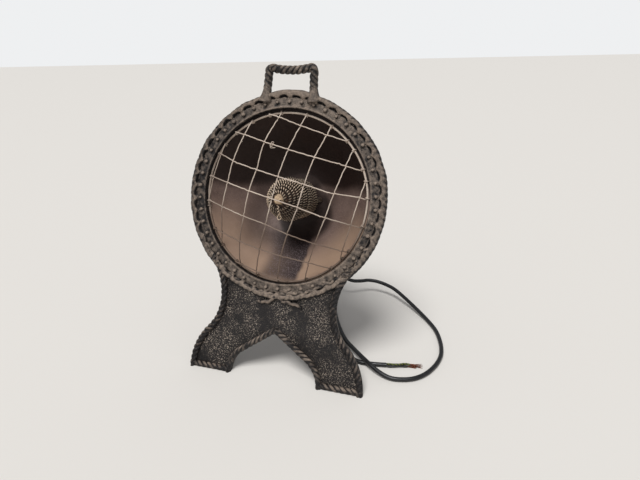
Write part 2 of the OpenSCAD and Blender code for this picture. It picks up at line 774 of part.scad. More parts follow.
// The cord's route on the standing heater, chosen by hand
cord_route = [
    [16, 148, 160], [18, 160, 144], [20, 167, 124], [22, 168, 102], [24, 165, 80], [27, 161, 63],
    [32, 157, 48.5], [41, 155.5, 37], [53, 160, 29.5], [67, 169, 26], [83, 178, 25], [104, 177, 23.5],
    [129, 167, 20], [151, 149, 15], [174, 127, 9], [197, 101, 4], [213, 74, 3.4], [222, 46, 3.4],
    [226, 20, 3.4], [225, -1, 3.4], [219, -22, 3.4], [208, -43, 3.4], [194, -57, 3.4], [178, -64, 3.4],
    [161, -66, 4], [143, -60, 6.8], [125, -48, 10.6], [110.5, -33.5, 10.2], [96.5, -16, 7.2], [80.5, 4.5, 4.4],
    [65.5, 29.5, 3.4], [51, 58, 3.4], [40, 85, 3.4], [27, 112, 3.4], [6, 132, 3.4], [-22, 137, 3.4],
    [-46, 121, 3.4], [-48, 94, 3.4], [-26, 73, 3.4], [6, 65, 3.4], [32, 53, 3.4], [51.5, 30.5, 3.4],
    [68.5, 4, 3.4], [83.5, -18.5, 3.4], [98, -34, 3.4], [113, -41.5, 3.4], [132, -41, 3.4], [151, -38, 3.4]
];
cord_points = concat([cord_out, cord_out + 7 * cord_aim], curve(cord_route, 2));

module power_cord() {
    color([0.05, 0.05, 0.06]) tube(cord_points, cord_r, cord_sides, [1, 0, 0]);
}

// Three bare cores out of the stripped end, and the copper that ends them
core_from = [152, -37.9, 3.4];
core_to = [184, -29, 2];
module cord_cores() {
    color([0.32, 0.38, 0.12])
        for (k = [0:2]) let (side = [k - 1, -2.2 * (k - 1), 0] * 1.3, up = [0, 0, k == 1 ? 1.7 : -0.4])
            tube([
                core_from + side * 0.9 + up * 0.9,
                core_from + [11, 2.6, -0.3] + side + up,
                core_from + [22, 6.4, -0.7] + side + up * 0.8,
                core_to + side + up * 0.4
            ], core_r, 8, [0, 0, 1]);
}

module core_strands() {
    color([0.55, 0.30, 0.16])
        for (k = [0:2]) let (side = [k - 1, -2.2 * (k - 1), 0] * 1.3, up = [0, 0, k == 1 ? 1.7 : -0.4])
            tube([
                core_to + [0.35, 0.1, 0] + side + up * 0.4,
                core_to + [7, 3.5 - 1.5 * (k - 1), -0.1] + side * 1.2 + up * 0.3,
                core_to + [14, 5.5 - 4.5 * (k - 1), -0.4] + side * 1.4
            ], strand_r, 8, [0, 0, 1]);
}

// ---- Rear leg ----

// From a plane across the hinge (x back, y up) to a slab of a width
module across(width) {
    translate([-width / 2, 0, 0]) rotate([90, 0, 90]) linear_extrude(width) children();
}

module at_hinge() {
    translate([0, hinge_y - middle_y, hinge_z]) children();
}

// Middle of the leg's bow, below and in front of it
bow_middle = [leg_chord / 2, leg_bow - bow_r];

module leg_bar() {
    rotate(leg_angle) translate(bow_middle) intersection() {
        difference() {
            circle(r = bow_r + leg_t / 2, $fn = 200);
            circle(r = bow_r - leg_t / 2, $fn = 200);
        }
        polygon([[0, 0], 2 * bow_r * [sin(bow_angle), cos(bow_angle)], 2 * bow_r * [-sin(bow_angle), cos(bow_angle)]]);
    }
}

module rear_leg() {
    foot = [foot_back - hinge_y, -hinge_z];
    color([0.17, 0.16, 0.15]) at_hinge() difference() {
        union() {
            across(leg_w) {
                circle(r = eye_r);
                leg_bar();
            }
            across(foot_pad_w) polygon([
                foot + [-foot_pad_l / 2, 0], foot + [foot_pad_l / 2, 0], foot + [foot_pad_l / 2, 4],
                foot + [leg_t / 2 + 2, pad_h + 5], foot + [-leg_t / 2 - 2, pad_h + 5], foot + [-foot_pad_l / 2, 4]
            ]);
        }
        across(leg_w + 2) circle(r = pin_r + running_gap);
    }
}

// Where the stop pin lies: on the upper side of the open leg
stop_place = let (a = 90 + bow_angle - stop_turn, r = bow_r + leg_t / 2 + fit_gap + stop_r)
    [bow_middle[0] + r * cos(a), bow_middle[1] + r * sin(a)];
stop_at = [
    stop_place[0] * cos(leg_angle) - stop_place[1] * sin(leg_angle),
    stop_place[0] * sin(leg_angle) + stop_place[1] * cos(leg_angle)
];
plate_face = cast_back - plate_t - seat_gap;

module ear() {
    reach = hinge_n - plate_face;
    rotate(-lean) {
        circle(r = ear_r);
        polygon([[reach, -plate_h / 2 + 1], [reach, plate_h / 2 - 1], [3, ear_r - 0.6], [3, 0.6 - ear_r]]);
    }
    translate(stop_at) circle(r = stop_r + 3);
    polygon([[0, 0], stop_at + [0, 0], stop_at + [-1.6, 4.6], [-3, ear_r + 3]]);
}

module leg_bracket() {
    color([0.17, 0.16, 0.15]) union() {
        on_frame() difference() {
            translate([-plate_w / 2, hinge_height - plate_h / 2, plate_face]) cube([plate_w, plate_h, plate_t]);
            for (side = [-1, 1]) translate([side * bracket_screw_x, hinge_height, 0])
                turned(cast_back + 1, plate_face - 1, screw_r + hole_gap);
        }
        at_hinge() for (side = [-1, 1]) translate([side * (ear_in + ear_t / 2), 0, 0]) difference() {
            across(ear_t) ear();
            across(ear_t + 2) circle(r = pin_r + running_gap);
            across(ear_t + 2) translate(stop_at) circle(r = stop_r + running_gap);
        }
    }
}

module bracket_screws() {
    bite = casting_t - panel_recess - 2;
    color([0.35, 0.33, 0.30]) on_frame()
        for (side = [-1, 1]) translate([side * bracket_screw_x, hinge_height, 0]) difference() {
            cheese_head(plate_face, bite + plate_t);
            translate([-screw_head_r, -0.5, plate_face - screw_head_t - 1]) cube([2 * screw_head_r, 1, 2]);
        }
}

ear_out = ear_in + ear_t;
module hinge_pin() {
    color([0.50, 0.47, 0.42]) at_hinge() rotate([0, 90, 0]) {
        translate([0, 0, -ear_out - 3]) cylinder(r = pin_r + 2, h = 3 - seat_gap);
        translate([0, 0, -ear_out - 1]) cylinder(r = pin_r, h = 2 * ear_out + 1 + 4);
    }
}

module pin_washer() {
    color([0.50, 0.47, 0.42]) at_hinge() rotate([0, 90, 0]) difference() {
        translate([0, 0, ear_out + seat_gap]) cylinder(r = pin_r + 2.5, h = 1.6);
        translate([0, 0, ear_out - 1]) cylinder(r = pin_r + running_gap, h = 5);
    }
}

module stop_pin() {
    color([0.50, 0.47, 0.42]) at_hinge() across(2 * ear_out) translate(stop_at) circle(r = stop_r);
}

front_frame();
reflector_bowl();
bowl_screws();
guard_hoop();
guard_upright_wires();
guard_cross_wires();
element_former();
element_coil();
element_shell();
shell_insulator();
element_contact();
lampholder();
holder_shell();
holder_spring();
holder_screws();
holder_nuts();
cover_pillars();
rear_cover();
cover_screws();
terminal_screws();
live_lead();
neutral_lead();
earth_lead();
cord_bush();
power_cord();
cord_cores();
core_strands();
leg_bracket();
bracket_screws();
rear_leg();
hinge_pin();
pin_washer();
stop_pin();
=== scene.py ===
# Antique electric bowl heater: a cast rope-edged front on splayed legs, a copper bowl,
# a beehive element and a wire guard
import bpy
from math import asin, atan2, cos, dist, exp, hypot, pi, radians, sin, sqrt
from mathutils import Matrix, Vector, noise
from mathutils.kdtree import KDTree


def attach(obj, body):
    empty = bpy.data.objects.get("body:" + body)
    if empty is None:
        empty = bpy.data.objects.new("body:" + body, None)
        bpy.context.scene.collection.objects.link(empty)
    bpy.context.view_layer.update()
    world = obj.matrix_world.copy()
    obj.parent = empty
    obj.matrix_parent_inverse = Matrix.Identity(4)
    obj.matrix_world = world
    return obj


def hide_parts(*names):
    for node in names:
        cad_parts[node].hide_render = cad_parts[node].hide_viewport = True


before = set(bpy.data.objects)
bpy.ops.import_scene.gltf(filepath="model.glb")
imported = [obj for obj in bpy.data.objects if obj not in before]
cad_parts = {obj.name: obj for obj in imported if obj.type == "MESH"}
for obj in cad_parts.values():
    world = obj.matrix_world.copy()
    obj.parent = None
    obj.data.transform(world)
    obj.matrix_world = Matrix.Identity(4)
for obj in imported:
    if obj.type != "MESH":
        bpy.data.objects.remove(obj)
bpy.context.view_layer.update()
print("loaded", len(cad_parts), "nodes")

noise.seed_set(7)  # noise_vector reads it, and so every run bends the ropes and wires the same way
mm = 0.001
heater = {  # the same sizes as the solids, in mm; heights are along the leaning casting
    "lean": 18.0,         # degrees
    "midY": 112.538,      # from the soles' front back to the origin
    "ringHeight": 259.0,
    "ringR": 141.0,
    "openingR": 120.0,
    "castBack": -11.0,
    "panel": -4.5,
    "ropeR": 4.5,
}
leanSin = sin(radians(heater["lean"]))
leanCos = cos(radians(heater["lean"]))
ringH, ringR, ropeR = heater["ringHeight"], heater["ringR"], heater["ropeR"]


def hexColour(code):  # sRGB hex to linear RGBA
    parts = [int(code[i:i + 2], 16) / 255 for i in (1, 3, 5)]
    return [c / 12.92 if c <= 0.04045 else ((c + 0.055) / 1.055) ** 2.4 for c in parts] + [1.0]


def smoothstep(low, high, x):  # 0 at low, 1 at high, and low may be the larger
    t = max(0.0, min(1.0, (x - low) / (high - low)))
    return t * t * (3 - 2 * t)


def uneven(x, y, z):
    return noise.noise(Vector((x, y, z)))


def polar(r, angle, n=0.0):
    return Vector((r * cos(angle), r * sin(angle), n))


def atRing(p):  # mm from the ring's middle -> the casting's plane, m
    return (p + Vector((0, ringH, 0))) * mm


def shares(count):  # 0 to 1 in even steps
    return [k / count for k in range(count + 1)]


def arcLengths(points):
    out = [0.0]
    for a, b in zip(points, points[1:]):
        out.append(out[-1] + dist(a, b))
    return out


def smoothRoute(points, steps):  # the same curve as the solids' cord
    out = []
    last = len(points) - 1
    for i in range(last):
        a, b, c, d = (Vector(points[j]) for j in (max(i - 1, 0), i, i + 1, min(i + 2, last)))
        for t in shares(steps)[:-1]:
            out.append(0.5 * (2 * b + (c - a) * t + (2 * a - 5 * b + 4 * c - d) * t * t
                              + (3 * b - a - 3 * c + d) * t ** 3))
    out.append(Vector(points[last]))
    return out


def treeOf(points):  # to find the nearest of them
    tree = KDTree(len(points))
    for i, p in enumerate(points):
        tree.insert(p, i)
    tree.balance()
    return tree


def clearSelection():
    if bpy.context.object and bpy.context.object.mode != "OBJECT":
        bpy.ops.object.mode_set(mode="OBJECT")
    bpy.ops.object.select_all(action="DESELECT")


def pick(*objs):
    clearSelection()
    for obj in objs:
        obj.select_set(True)
    bpy.context.view_layer.objects.active = objs[0]
    return objs[0]


def joined(objs):
    out = pick(*objs)
    bpy.ops.object.join()
    return out


def keepPlace(obj):  # moves the object's place into its mesh
    pick(obj)
    bpy.ops.object.transform_apply(location=True, rotation=True, scale=True)
    return obj


def toRing(obj):  # from the axis up to the ring's middle
    obj.location.y = ringH * mm
    return keepPlace(obj)


def standUp(obj):  # from the casting's own plane to its place on the leaning heater
    obj.matrix_world = Matrix.Translation((0, -heater["midY"] * mm, 0)) @ Matrix.Rotation(
        radians(90 - heater["lean"]), 4, "X") @ obj.matrix_world
    return keepPlace(obj)


def settle(obj, name, material, node, smooth=40):  # smooth is an angle in degrees
    pick(obj)
    obj.name = name
    obj.data.name = name
    obj.data.materials.clear()
    obj.data.materials.append(material)
    if obj.type == "MESH":
        bpy.ops.object.shade_smooth_by_angle(angle=radians(smooth))
    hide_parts(node)
    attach(obj, "heater")
    return obj


def newCurve(dimensions):
    curve = bpy.data.curves.new("line", "CURVE")
    curve.dimensions = dimensions
    obj = bpy.data.objects.new("line", curve)
    bpy.context.scene.collection.objects.link(obj)
    return obj, curve


def addLine(curve, points, closed=False):  # points in m
    spline = curve.splines.new("POLY")
    spline.points.add(len(points) - 1)
    for point, place in zip(spline.points, points):
        point.co = (*place, 1)
    spline.use_cyclic_u = closed


def wireCurve(points, radius, sides=8, closed=False):  # points in m, radius in mm
    obj, curve = newCurve("3D")
    curve.twist_mode = "MINIMUM"
    addLine(curve, points, closed)
    curve.bevel_depth = radius * mm
    curve.bevel_resolution = max(0, (sides - 4) // 2)
    curve.use_fill_caps = True
    return obj


def asMesh(obj):
    pick(obj)
    bpy.ops.object.convert(target="MESH")
    return bpy.context.object


def wireMesh(points, radius, sides=8, closed=False):
    return asMesh(wireCurve(points, radius, sides, closed))


def editAll(obj):  # into edit mode with the whole mesh selected
    pick(obj)
    bpy.ops.object.mode_set(mode="EDIT")
    bpy.ops.mesh.select_all(action="SELECT")


def cleanShell(obj, gap=0.02):  # gap in mm
    editAll(obj)
    bpy.ops.mesh.remove_doubles(threshold=gap * mm)
    bpy.ops.mesh.normals_make_consistent(inside=False)
    bpy.ops.object.mode_set(mode="OBJECT")
    return obj


def cutAtTable(obj):  # keeps what is above z = 0 and closes the sole
    editAll(obj)
    bpy.ops.mesh.bisect(plane_co=(0, 0, 0), plane_no=(0, 0, 1), use_fill=True, clear_inner=True,
                        threshold=0.000001)
    bpy.ops.object.mode_set(mode="OBJECT")
    return obj


def spun(profile, steps):  # profile of (radius, n) in mm, turned about the bowl's axis with the spin tool
    bpy.ops.mesh.primitive_circle_add(vertices=len(profile), radius=0.01, fill_type="NOTHING")
    obj = bpy.context.object
    for vert, (r, n) in zip(obj.data.vertices, profile):
        vert.co = (r * mm, 0, n * mm)
    editAll(obj)
    bpy.ops.mesh.spin(steps=steps, angle=2 * pi, center=(0, 0, 0), axis=(0, 0, 1), use_auto_merge=True)
    return cleanShell(obj, 0.01)


def paintPoints(obj, name, values):  # one number for each vertex, for the materials
    layer = obj.data.attributes.new(name, "FLOAT", "POINT")
    layer.data.foreach_set("value", values)
    return obj


def paintBy(obj, name, rule):  # the same, worked out from each vertex's place
    return paintPoints(obj, name, [rule(v.co) for v in obj.data.vertices])


def newMaterial(name, roughness=0.5, metallic=0.0, ior=None):
    material = bpy.data.materials.new(name)
    material.use_nodes = True
    tree = material.node_tree
    shader = tree.nodes["Principled BSDF"]
    shader.inputs["Roughness"].default_value = roughness
    shader.inputs["Metallic"].default_value = metallic
    if ior:
        shader.inputs["IOR"].default_value = ior
    return material, tree, shader


def addNode(tree, kind, inputs=None, **settings):
    node = tree.nodes.new(kind)
    for key, value in settings.items():
        setattr(node, key, value)
    for key, value in (inputs or {}).items():
        if isinstance(value, bpy.types.NodeSocket):
            tree.links.new(value, node.inputs[key])
        else:
            node.inputs[key].default_value = hexColour(value) if isinstance(value, str) else value
    return node


def grains(tree, size, detail=4, rough=0.6, low=0.35, high=0.65):
    # cloudy spots about size mm across, spread to 0..1
    where = addNode(tree, "ShaderNodeTexCoord").outputs["Object"]
    cloud = addNode(tree, "ShaderNodeTexNoise",
                    {"Vector": where, "Scale": 1 / (size * mm), "Detail": detail, "Roughness": rough})
    spread = addNode(tree, "ShaderNodeMapRange",
                     {"Value": cloud.outputs["Fac"], "From Min": low, "From Max": high})
    return spread.outputs["Result"]


def dress(tree, shader, ground, coats, bumps=(), rough=None):
    # coats of (colour, strength, patterns), each laid over the ones before where all its patterns show;
    # a pattern is a socket or the name of painted points
    for colour, share, *patterns in coats:
        for pattern in patterns:
            if isinstance(pattern, str):
                pattern = addNode(tree, "ShaderNodeAttribute", attribute_name=pattern).outputs["Fac"]
            both = addNode(tree, "ShaderNodeMath", {0: pattern, 1: share}, operation="MULTIPLY")
            share = both.outputs[0]
        mixed = addNode(tree, "ShaderNodeMix", data_type="RGBA", inputs={0: share, 6: ground, 7: colour})
        ground = mixed.outputs[2]
    tree.links.new(ground, shader.inputs["Base Color"])
    below = {}
    for height, depth in bumps:  # a pattern and its depth in mm, each added to the one before
        bump = addNode(tree, "ShaderNodeBump",
                       {"Height": height, "Strength": 1.0, "Distance": depth * mm, **below})
        below = {"Normal": bump.outputs["Normal"]}
    if below:
        tree.links.new(below["Normal"], shader.inputs["Normal"])
    if rough:  # a pattern, and the roughness off it and on it
        pattern, low, high = rough
        spread = addNode(tree, "ShaderNodeMapRange", {"Value": pattern, "To Min": low, "To Max": high})
        tree.links.new(spread.outputs["Result"], shader.inputs["Roughness"])


def dullMetal(name, colour, stain, roughness=0.5, metallic=0.8, grain=1.2, depth=0.08, patch=14):
    material, tree, shader = newMaterial(name, roughness, metallic)
    patches, spots = grains(tree, patch, 5, 0.65), grains(tree, grain)
    dress(tree, shader, colour, [(stain, 1.0, patches), (stain, 0.4, spots)], [(spots, depth)],
          (spots, roughness - 0.1, roughness + 0.2))
    return material


def plainSkin(name, colour, shade, roughness=0.45, grain=2.0, depth=0.03, ior=1.5):
    material, tree, shader = newMaterial(name, roughness, 0.0, ior)
    spots = grains(tree, grain)
    dress(tree, shader, colour, [(shade, 1.0, spots)], [(spots, depth)],
          (spots, roughness - 0.08, roughness + 0.12))
    return material


# Camera at the photograph's viewing angle
cameraSettings = {
    "place": (228.6, -482.1 - heater["midY"], 431.1),
    "yaw": 17.457, "pitch": -22.370, "roll": 1.189,
    "focal": 462.0, "imageWidth": 640.0,  # in pixels
    "sensor": 36.0,
}
bpy.ops.object.camera_add()
camera = bpy.context.object
camera.name = "photoCamera"
camera.data.sensor_fit = "HORIZONTAL"
camera.data.sensor_width = cameraSettings["sensor"]
camera.data.lens = cameraSettings["sensor"] * cameraSettings["focal"] / cameraSettings["imageWidth"]
camera.data.clip_start = 0.01
camera.data.clip_end = 20
aim = Matrix.Translation(Vector(cameraSettings["place"]) * mm)
for turn, axis in (("yaw", "Z"), ("pitch", "X"), ("roll", "Y")):
    aim @= Matrix.Rotation(radians(cameraSettings[turn]), 4, axis)
camera.matrix_world = aim @ Matrix.Rotation(radians(90), 4, "X")
bpy.context.scene.camera = camera
print("camera placed")

# Mains cord, on the same route as the solids'
cordSettings = {
    "diameter": 6.4,
    "bush": (16, -24, -160.2),  # end of the sleeve, from the ring's middle
    "straight": 7.0,            # how far it runs straight out of the sleeve
    "route": [
        (16, 148, 160), (18, 160, 144), (20, 167, 124), (22, 168, 102), (24, 165, 80), (27, 161, 63),
        (32, 157, 48.5), (41, 155.5, 37), (53, 160, 29.5), (67, 169, 26), (83, 178, 25), (104, 177, 23.5),
        (129, 167, 20), (151, 149, 15), (174, 127, 9), (197, 101, 4), (213, 74, 3.4), (222, 46, 3.4),
        (226, 20, 3.4), (225, -1, 3.4), (219, -22, 3.4), (208, -43, 3.4), (194, -57, 3.4), (178, -64, 3.4),
        (161, -66, 4), (143, -60, 6.8), (125, -48, 10.6), (110.5, -33.5, 10.2), (96.5, -16, 7.2),
        (80.5, 4.5, 4.4), (65.5, 29.5, 3.4), (51, 58, 3.4), (40, 85, 3.4), (27, 112, 3.4), (6, 132, 3.4),
        (-22, 137, 3.4), (-46, 121, 3.4), (-48, 94, 3.4), (-26, 73, 3.4), (6, 65, 3.4), (32, 53, 3.4),
        (51.5, 30.5, 3.4), (68.5, 4, 3.4), (83.5, -18.5, 3.4), (98, -34, 3.4), (113, -41.5, 3.4),
        (132, -41, 3.4), (151, -38, 3.4),
    ],
}
x, y, n = cordSettings["bush"]
y += ringH
cordStart = Vector((x, y * leanSin - n * leanCos - heater["midY"], y * leanCos + n * leanSin)) * mm
cordAim = Vector((0, leanCos, -leanSin))
cordPath = [cordStart, cordStart + cordSettings["straight"] * mm * cordAim]
cordPath += [p * mm for p in smoothRoute(cordSettings["route"], 6)]

# PVC sheath, extruded: near-black, satin, slightly dusty
sheathPvc = plainSkin("extruded black PVC", "#0c0c0e", "#1a1a1c", 0.4, 6.0, 0.02, 1.53)
cord = wireCurve(cordPath, cordSettings["diameter"] / 2, 16)
settle(cord, "mainsCord", sheathPvc, "power_cord")

# Stripped end of the cord: three cores and their copper
endSettings = {
    "start": (149.5, -38.2, 3.3),
    "coreR": 1.35,
    "strandR": 0.28,  # thicker and fewer than real strands, so that they show
    "strands": 12,
}


def coreLine(side, lift, curl, reach, phase):
    line = []
    for t in shares(24):
        apart = side * (0.55 + 0.45 * min(1, t * 5))  # the cores part in the first fifth
        p = Vector(endSettings["start"]) + Vector((reach * t, 9.6 * t ** 1.25, -1.0 * t))
        p += Vector((-0.25 * apart, apart, lift))
        p += Vector((0, curl * sin(9.5 * t + phase) * t, 0.6 * curl * cos(8 * t + phase) * t))
        p.z = max(p.z, endSettings["coreR"] + 0.1)
        line.append(p * mm)
    return line


# Core insulation: soft PVC, green with yellow stripes on the earth, and sun-faded black and grey
earthPvc, tree, shader = newMaterial("striped soft PVC", 0.45, 0.0, 1.53)
where = addNode(tree, "ShaderNodeTexCoord").outputs["Object"]
bands = addNode(tree, "ShaderNodeTexWave", wave_type="BANDS", bands_direction="DIAGONAL",
                inputs={"Vector": where, "Scale": 110.0, "Distortion": 2.0, "Detail": 1.0}).outputs["Fac"]
stripe = addNode(tree, "ShaderNodeMapRange", {"Value": bands, "From Min": 0.62, "From Max": 0.72})
dress(tree, shader, "#27301a", [("#6f7322", 1.0, stripe.outputs["Result"])])
blackPvc = plainSkin("soft black PVC", "#191817", "#2b2a28", 0.5, 3.0)
greyPvc = plainSkin("soft grey PVC", "#3c3a38", "#55514c", 0.5, 3.0)
cores = []
for name, side, lift, curl, reach, material, phase in (
    ("earthCore", 0.5, 1.7, 1.0, 35, earthPvc, 0.4),
    ("blackCore", -2.2, -0.4, 0.5, 31, blackPvc, 1.8),
    ("greyCore", 2.2, -0.5, 0.4, 29, greyPvc, 3.0),
):
    line = coreLine(side, lift, curl, reach, phase)
    core = wireMesh(line, endSettings["coreR"], 10)
    cores.append((settle(core, name, material, "cord_cores"), line))

# Bare copper strands: thin drawn wire, browned, splayed out and bent down
strandCopper = dullMetal("browned copper wire", "#87441f", "#45200f", 0.65, 0.2, 1.0, 0.02, 5)
strands = []
for c, (core, line) in enumerate(cores):
    tip = line[-1]
    for k in range(endSettings["strands"]):
        turn = 2 * pi * k / endSettings["strands"]
        spread = Vector((0, cos(turn), sin(turn)))
        bend = noise.noise_vector(Vector((c * 3.1, k * 1.7, 0.5)))
        reach = 12 + 5 * uneven(k * 0.9, c * 2.2, 4) + (4 if c == 0 else 0)  # the earth's are the longest
        points = [tip - Vector((2.0, 0.6, 0)) * mm + spread * 0.6 * mm]
        for t in shares(8)[1:]:
            p = tip + Vector((reach * t, 2.6 * t, 0)) * mm
            p += spread * (0.7 + 1.5 * t) * mm * (1 - 0.3 * c)
            p += Vector((0, bend.y * 5 * t * t, bend.z * 2.4 * t - 2.2 * t * t)) * mm
            p.z = max(p.z, 0.4 * mm)
            points.append(p)
        strands.append(wireMesh(points, endSettings["strandR"], 4))
strandTuft = settle(joined(strands), "copperStrands", strandCopper, "core_strands")
print("cord and its stripped end made")

# Front casting
castingSettings = {
    "edgeR": 0.8,
    "panelWear": 0.22,
    "scallops": 46,
    "stepsPerScallop": 16,
    "beadCircle": 127.9,
    "beadR": 2.8,
    "beadN": -1.9,
    "arches": 3.6,       # how far the rolled edge's inside arches out between the beads
    "ringStrand": 8.0,
    "strandDepth": 0.8,
    "crown": 2.2,        # the edge swells between the handle's posts
    "ropeN": -3.5,
    "legRopeR": 4.9,
    "archRopeR": 4.3,
    "soleRopeR": 4.4,
    "strandPitch": 8.2,
    "strands": 3,
}
legSettings = {  # the same as the solids', in mm and degrees
    "waist": 86.0, "waistHeight": 112.0, "flareR": 68.0, "footOut": 131.0, "footIn": 64.5,
    "archHeight": 67.0, "archSlope": 35.0,
}
waist, waistH, flareR, footOut, footIn, archH, archSlope = legSettings.values()
flareX = waist + flareR
neckR = (waist ** 2 + (ringH - waistH) ** 2 - ringR ** 2) / (2 * (ringR - waist))
kneeR = ((flareX - footOut) ** 2 + waistH ** 2 - flareR ** 2) / (2 * (flareR - flareX + footOut))
slopeSin, slopeCos = sin(radians(archSlope)), cos(radians(archSlope))
archR = (archH * slopeCos - footIn * slopeSin) / (1 - slopeSin)
neckAngle = atan2(waistH - ringH, waist + neckR)
kneeAngle = atan2(waistH, flareX - footOut + kneeR)


def arcPoints(cx, cy, r, start, end, gap=1.6):  # angles in radians, points about gap mm apart
    angles = [start + (end - start) * t for t in shares(max(2, int(abs(end - start) * r / gap)))]
    return [(cx + r * cos(a), cy + r * sin(a)) for a in angles]


def linePoints(a, b, gap=1.6):
    return [(a[0] + (b[0] - a[0]) * t, a[1] + (b[1] - a[1]) * t)
            for t in shares(max(2, int(dist(a, b) / gap)))]


def chained(*runs):
    out = []
    for run in runs:
        for p in run:
            if not out or dist(out[-1], p) > 0.3:
                out.append(p)
    return out


def legSide(inset, overshoot=0.0):  # outside of the right leg, from the ring to the sole
    sole = asin(max(-1, min(1, (inset - overshoot) / (kneeR - inset))))
    return chained(
        arcPoints(waist + neckR, waistH, neckR + inset, pi + neckAngle, pi),
        arcPoints(flareX, waistH, flareR + inset, pi, pi + kneeAngle),
        arcPoints(footOut - kneeR, 0, kneeR - inset, kneeAngle, sole),
    )


def archSide(inset, overshoot=0.0):  # inside of the right leg, from the sole to the arch's point
    heel = asin(max(-1, min(1, (inset - overshoot) / (archR + inset))))
    foot = arcPoints(footIn - archR, 0, archR + inset, heel, pi / 2 - radians(archSlope))
    return chained(foot, linePoints(foot[-1], (0, archH + inset / slopeCos)))


def mirroredPath(points):
    return [(-x, y) for x, y in reversed(points)]


def strandedSection(radius, strands, depth):  # outline of a rope of a few strands
    obj, curve = newCurve("2D")
    outline = []
    for t in shares(8 * strands)[:-1]:
        r = radius * (1 - depth + depth * abs(cos(strands * pi * t)) ** 0.7)
        outline.append(polar(r * mm, 2 * pi * t))
    addLine(curve, outline, closed=True)
    return obj


def ropeAlong(points, radius, pitch, n, hand, depth=0.22, wobble=0.25, rub=0.9, dustAndLight=0.0):
    strands = castingSettings["strands"]
    lengths = arcLengths(points)
    line = []
    for x, y in points:
        shake = noise.noise_vector(Vector((x * 0.12, y * 0.12, 1.7)))
        line.append(Vector((x + wobble * shake.x, y + wobble * shake.y, n + wobble * shake.z)) * mm)
    rope = wireCurve(line, 0)
    rope.data.bevel_mode = "OBJECT"
    rope.data.bevel_object = section = strandedSection(radius, strands, depth)
    rope.data.twist_mode = "Z_UP"
    for point, s in zip(rope.data.splines[0].points, lengths):
        point.tilt = hand * 2 * pi * s / (pitch * strands)
    rope = asMesh(rope)
    bpy.data.objects.remove(section)
    tree = treeOf(line)
    wearAndShading = []
    for vert in rope.data.vertices:
        i = tree.find(vert.co)[1]
        ahead = (line[min(i + 1, len(line) - 1)] - line[max(i - 1, 0)]).normalized()
        off = vert.co - line[i]
        out = (off - ahead * off.dot(ahead)).length / (radius * mm)
        high = smoothstep(-0.1, 0.9, off.y / (radius * mm)) + dustAndLight  # paler on the upper side: dust and painted light
        patch = 0.7 + 0.6 * noise.noise(vert.co * 60)
        # the strands' crests are paler: rubbed metal with painted highlights
        crest = 0.1 + 0.9 * smoothstep(1 - 0.75 * depth, 0.98, out)
        wearAndShading.append(rub * patch * crest * (0.6 + 0.5 * high))
    return cleanShell(paintPoints(rope, "wearAndShading", wearAndShading))


# Plate of the casting: a flat outline with the round opening, given its thickness
outer = chained(
    mirroredPath(legSide(1.0)),
    arcPoints(0, ringH, ringR - 2.6, pi - neckAngle, neckAngle),
    legSide(1.0),
    archSide(1.0),
    mirroredPath(archSide(1.0)),
)
footprint = [(x, y - 6 if y < 3 else y) for x, y in outer]  # the feet reach below the table, to be cut
opening = arcPoints(0, ringH, heater["openingR"] + 4, 0, 2 * pi, 2.5)[:-1]
plate, curve = newCurve("2D")
curve.fill_mode = "BOTH"
edge = castingSettings["edgeR"] * mm
curve.extrude = (heater["panel"] - heater["castBack"]) * mm / 2 - edge
curve.bevel_depth = edge
curve.bevel_resolution = 1
curve.offset = -edge
for loop in (footprint, opening):
    addLine(curve, [(x * mm, y * mm, 0) for x, y in loop], closed=True)
plate = asMesh(plate)
plateMiddle = (heater["panel"] + heater["castBack"]) / 2 * mm
plate.location.z = plateMiddle
keepPlace(plate)
paintBy(plate, "panel", lambda co: 1.0 if co.z > plateMiddle else 0.3)
paintBy(plate, "wearAndShading", lambda co: castingSettings["panelWear"])
castingPieces = [cleanShell(plate)]
print("casting plate made")

# Ring: a flat band and a rolled edge are turned, then each row of points moves to its own scalloped line
ringLines = {  # for each line the rows follow: how far from it, height, wear; the wear also paints shade, nil in the pocket under the rolled edge
    "band": [(120.0, -11.0, 0.3), (120.0, -3.0, 0.3), (120.15, -1.9, 0.6), (120.9, -1.35, 0.95),
             (122.0, -1.6, 0.9), (123.4, -2.1, 0.7), (125.4, -2.2, 0.72), (127.4, -2.3, 0.72)],
    "inner": [(-2.6, -2.5, 0.75), (-1.5, -3.4, 0.2), (-0.6, -4.6, 0.0), (-0.1, -4.2, 0.0), (0.1, -2.2, 0.0),
              (0.6, -0.6, 0.4), (1.6, 0.35, 0.95)],
    "roll": [(0.35, 0.75, 1.0), (0.6, 0.45, 0.95), (0.8, -0.5, 0.75), (0.93, -1.8, 0.6)],
    "outer": [(0.0, -3.6, 0.5), (0.0, -5.5, 0.4), (-0.6, -7.5, 0.3), (-1.8, -9.5, 0.3), (-2.6, -11.0, 0.3)],
}
ringRows = [(line, *row) for line, rows in ringLines.items() for row in rows]
beadRows, hollowRows, crestRow = range(5, 9), range(9, 15), 14
rollStart = 1.6  # the roll begins this far outside the inner line


def ringRadius(line, value, inner, outer):
    if line == "band":
        return value
    if line == "inner":
        return inner + value
    if line == "roll":
        return inner + rollStart + (outer - inner - rollStart) * value
    return outer + value


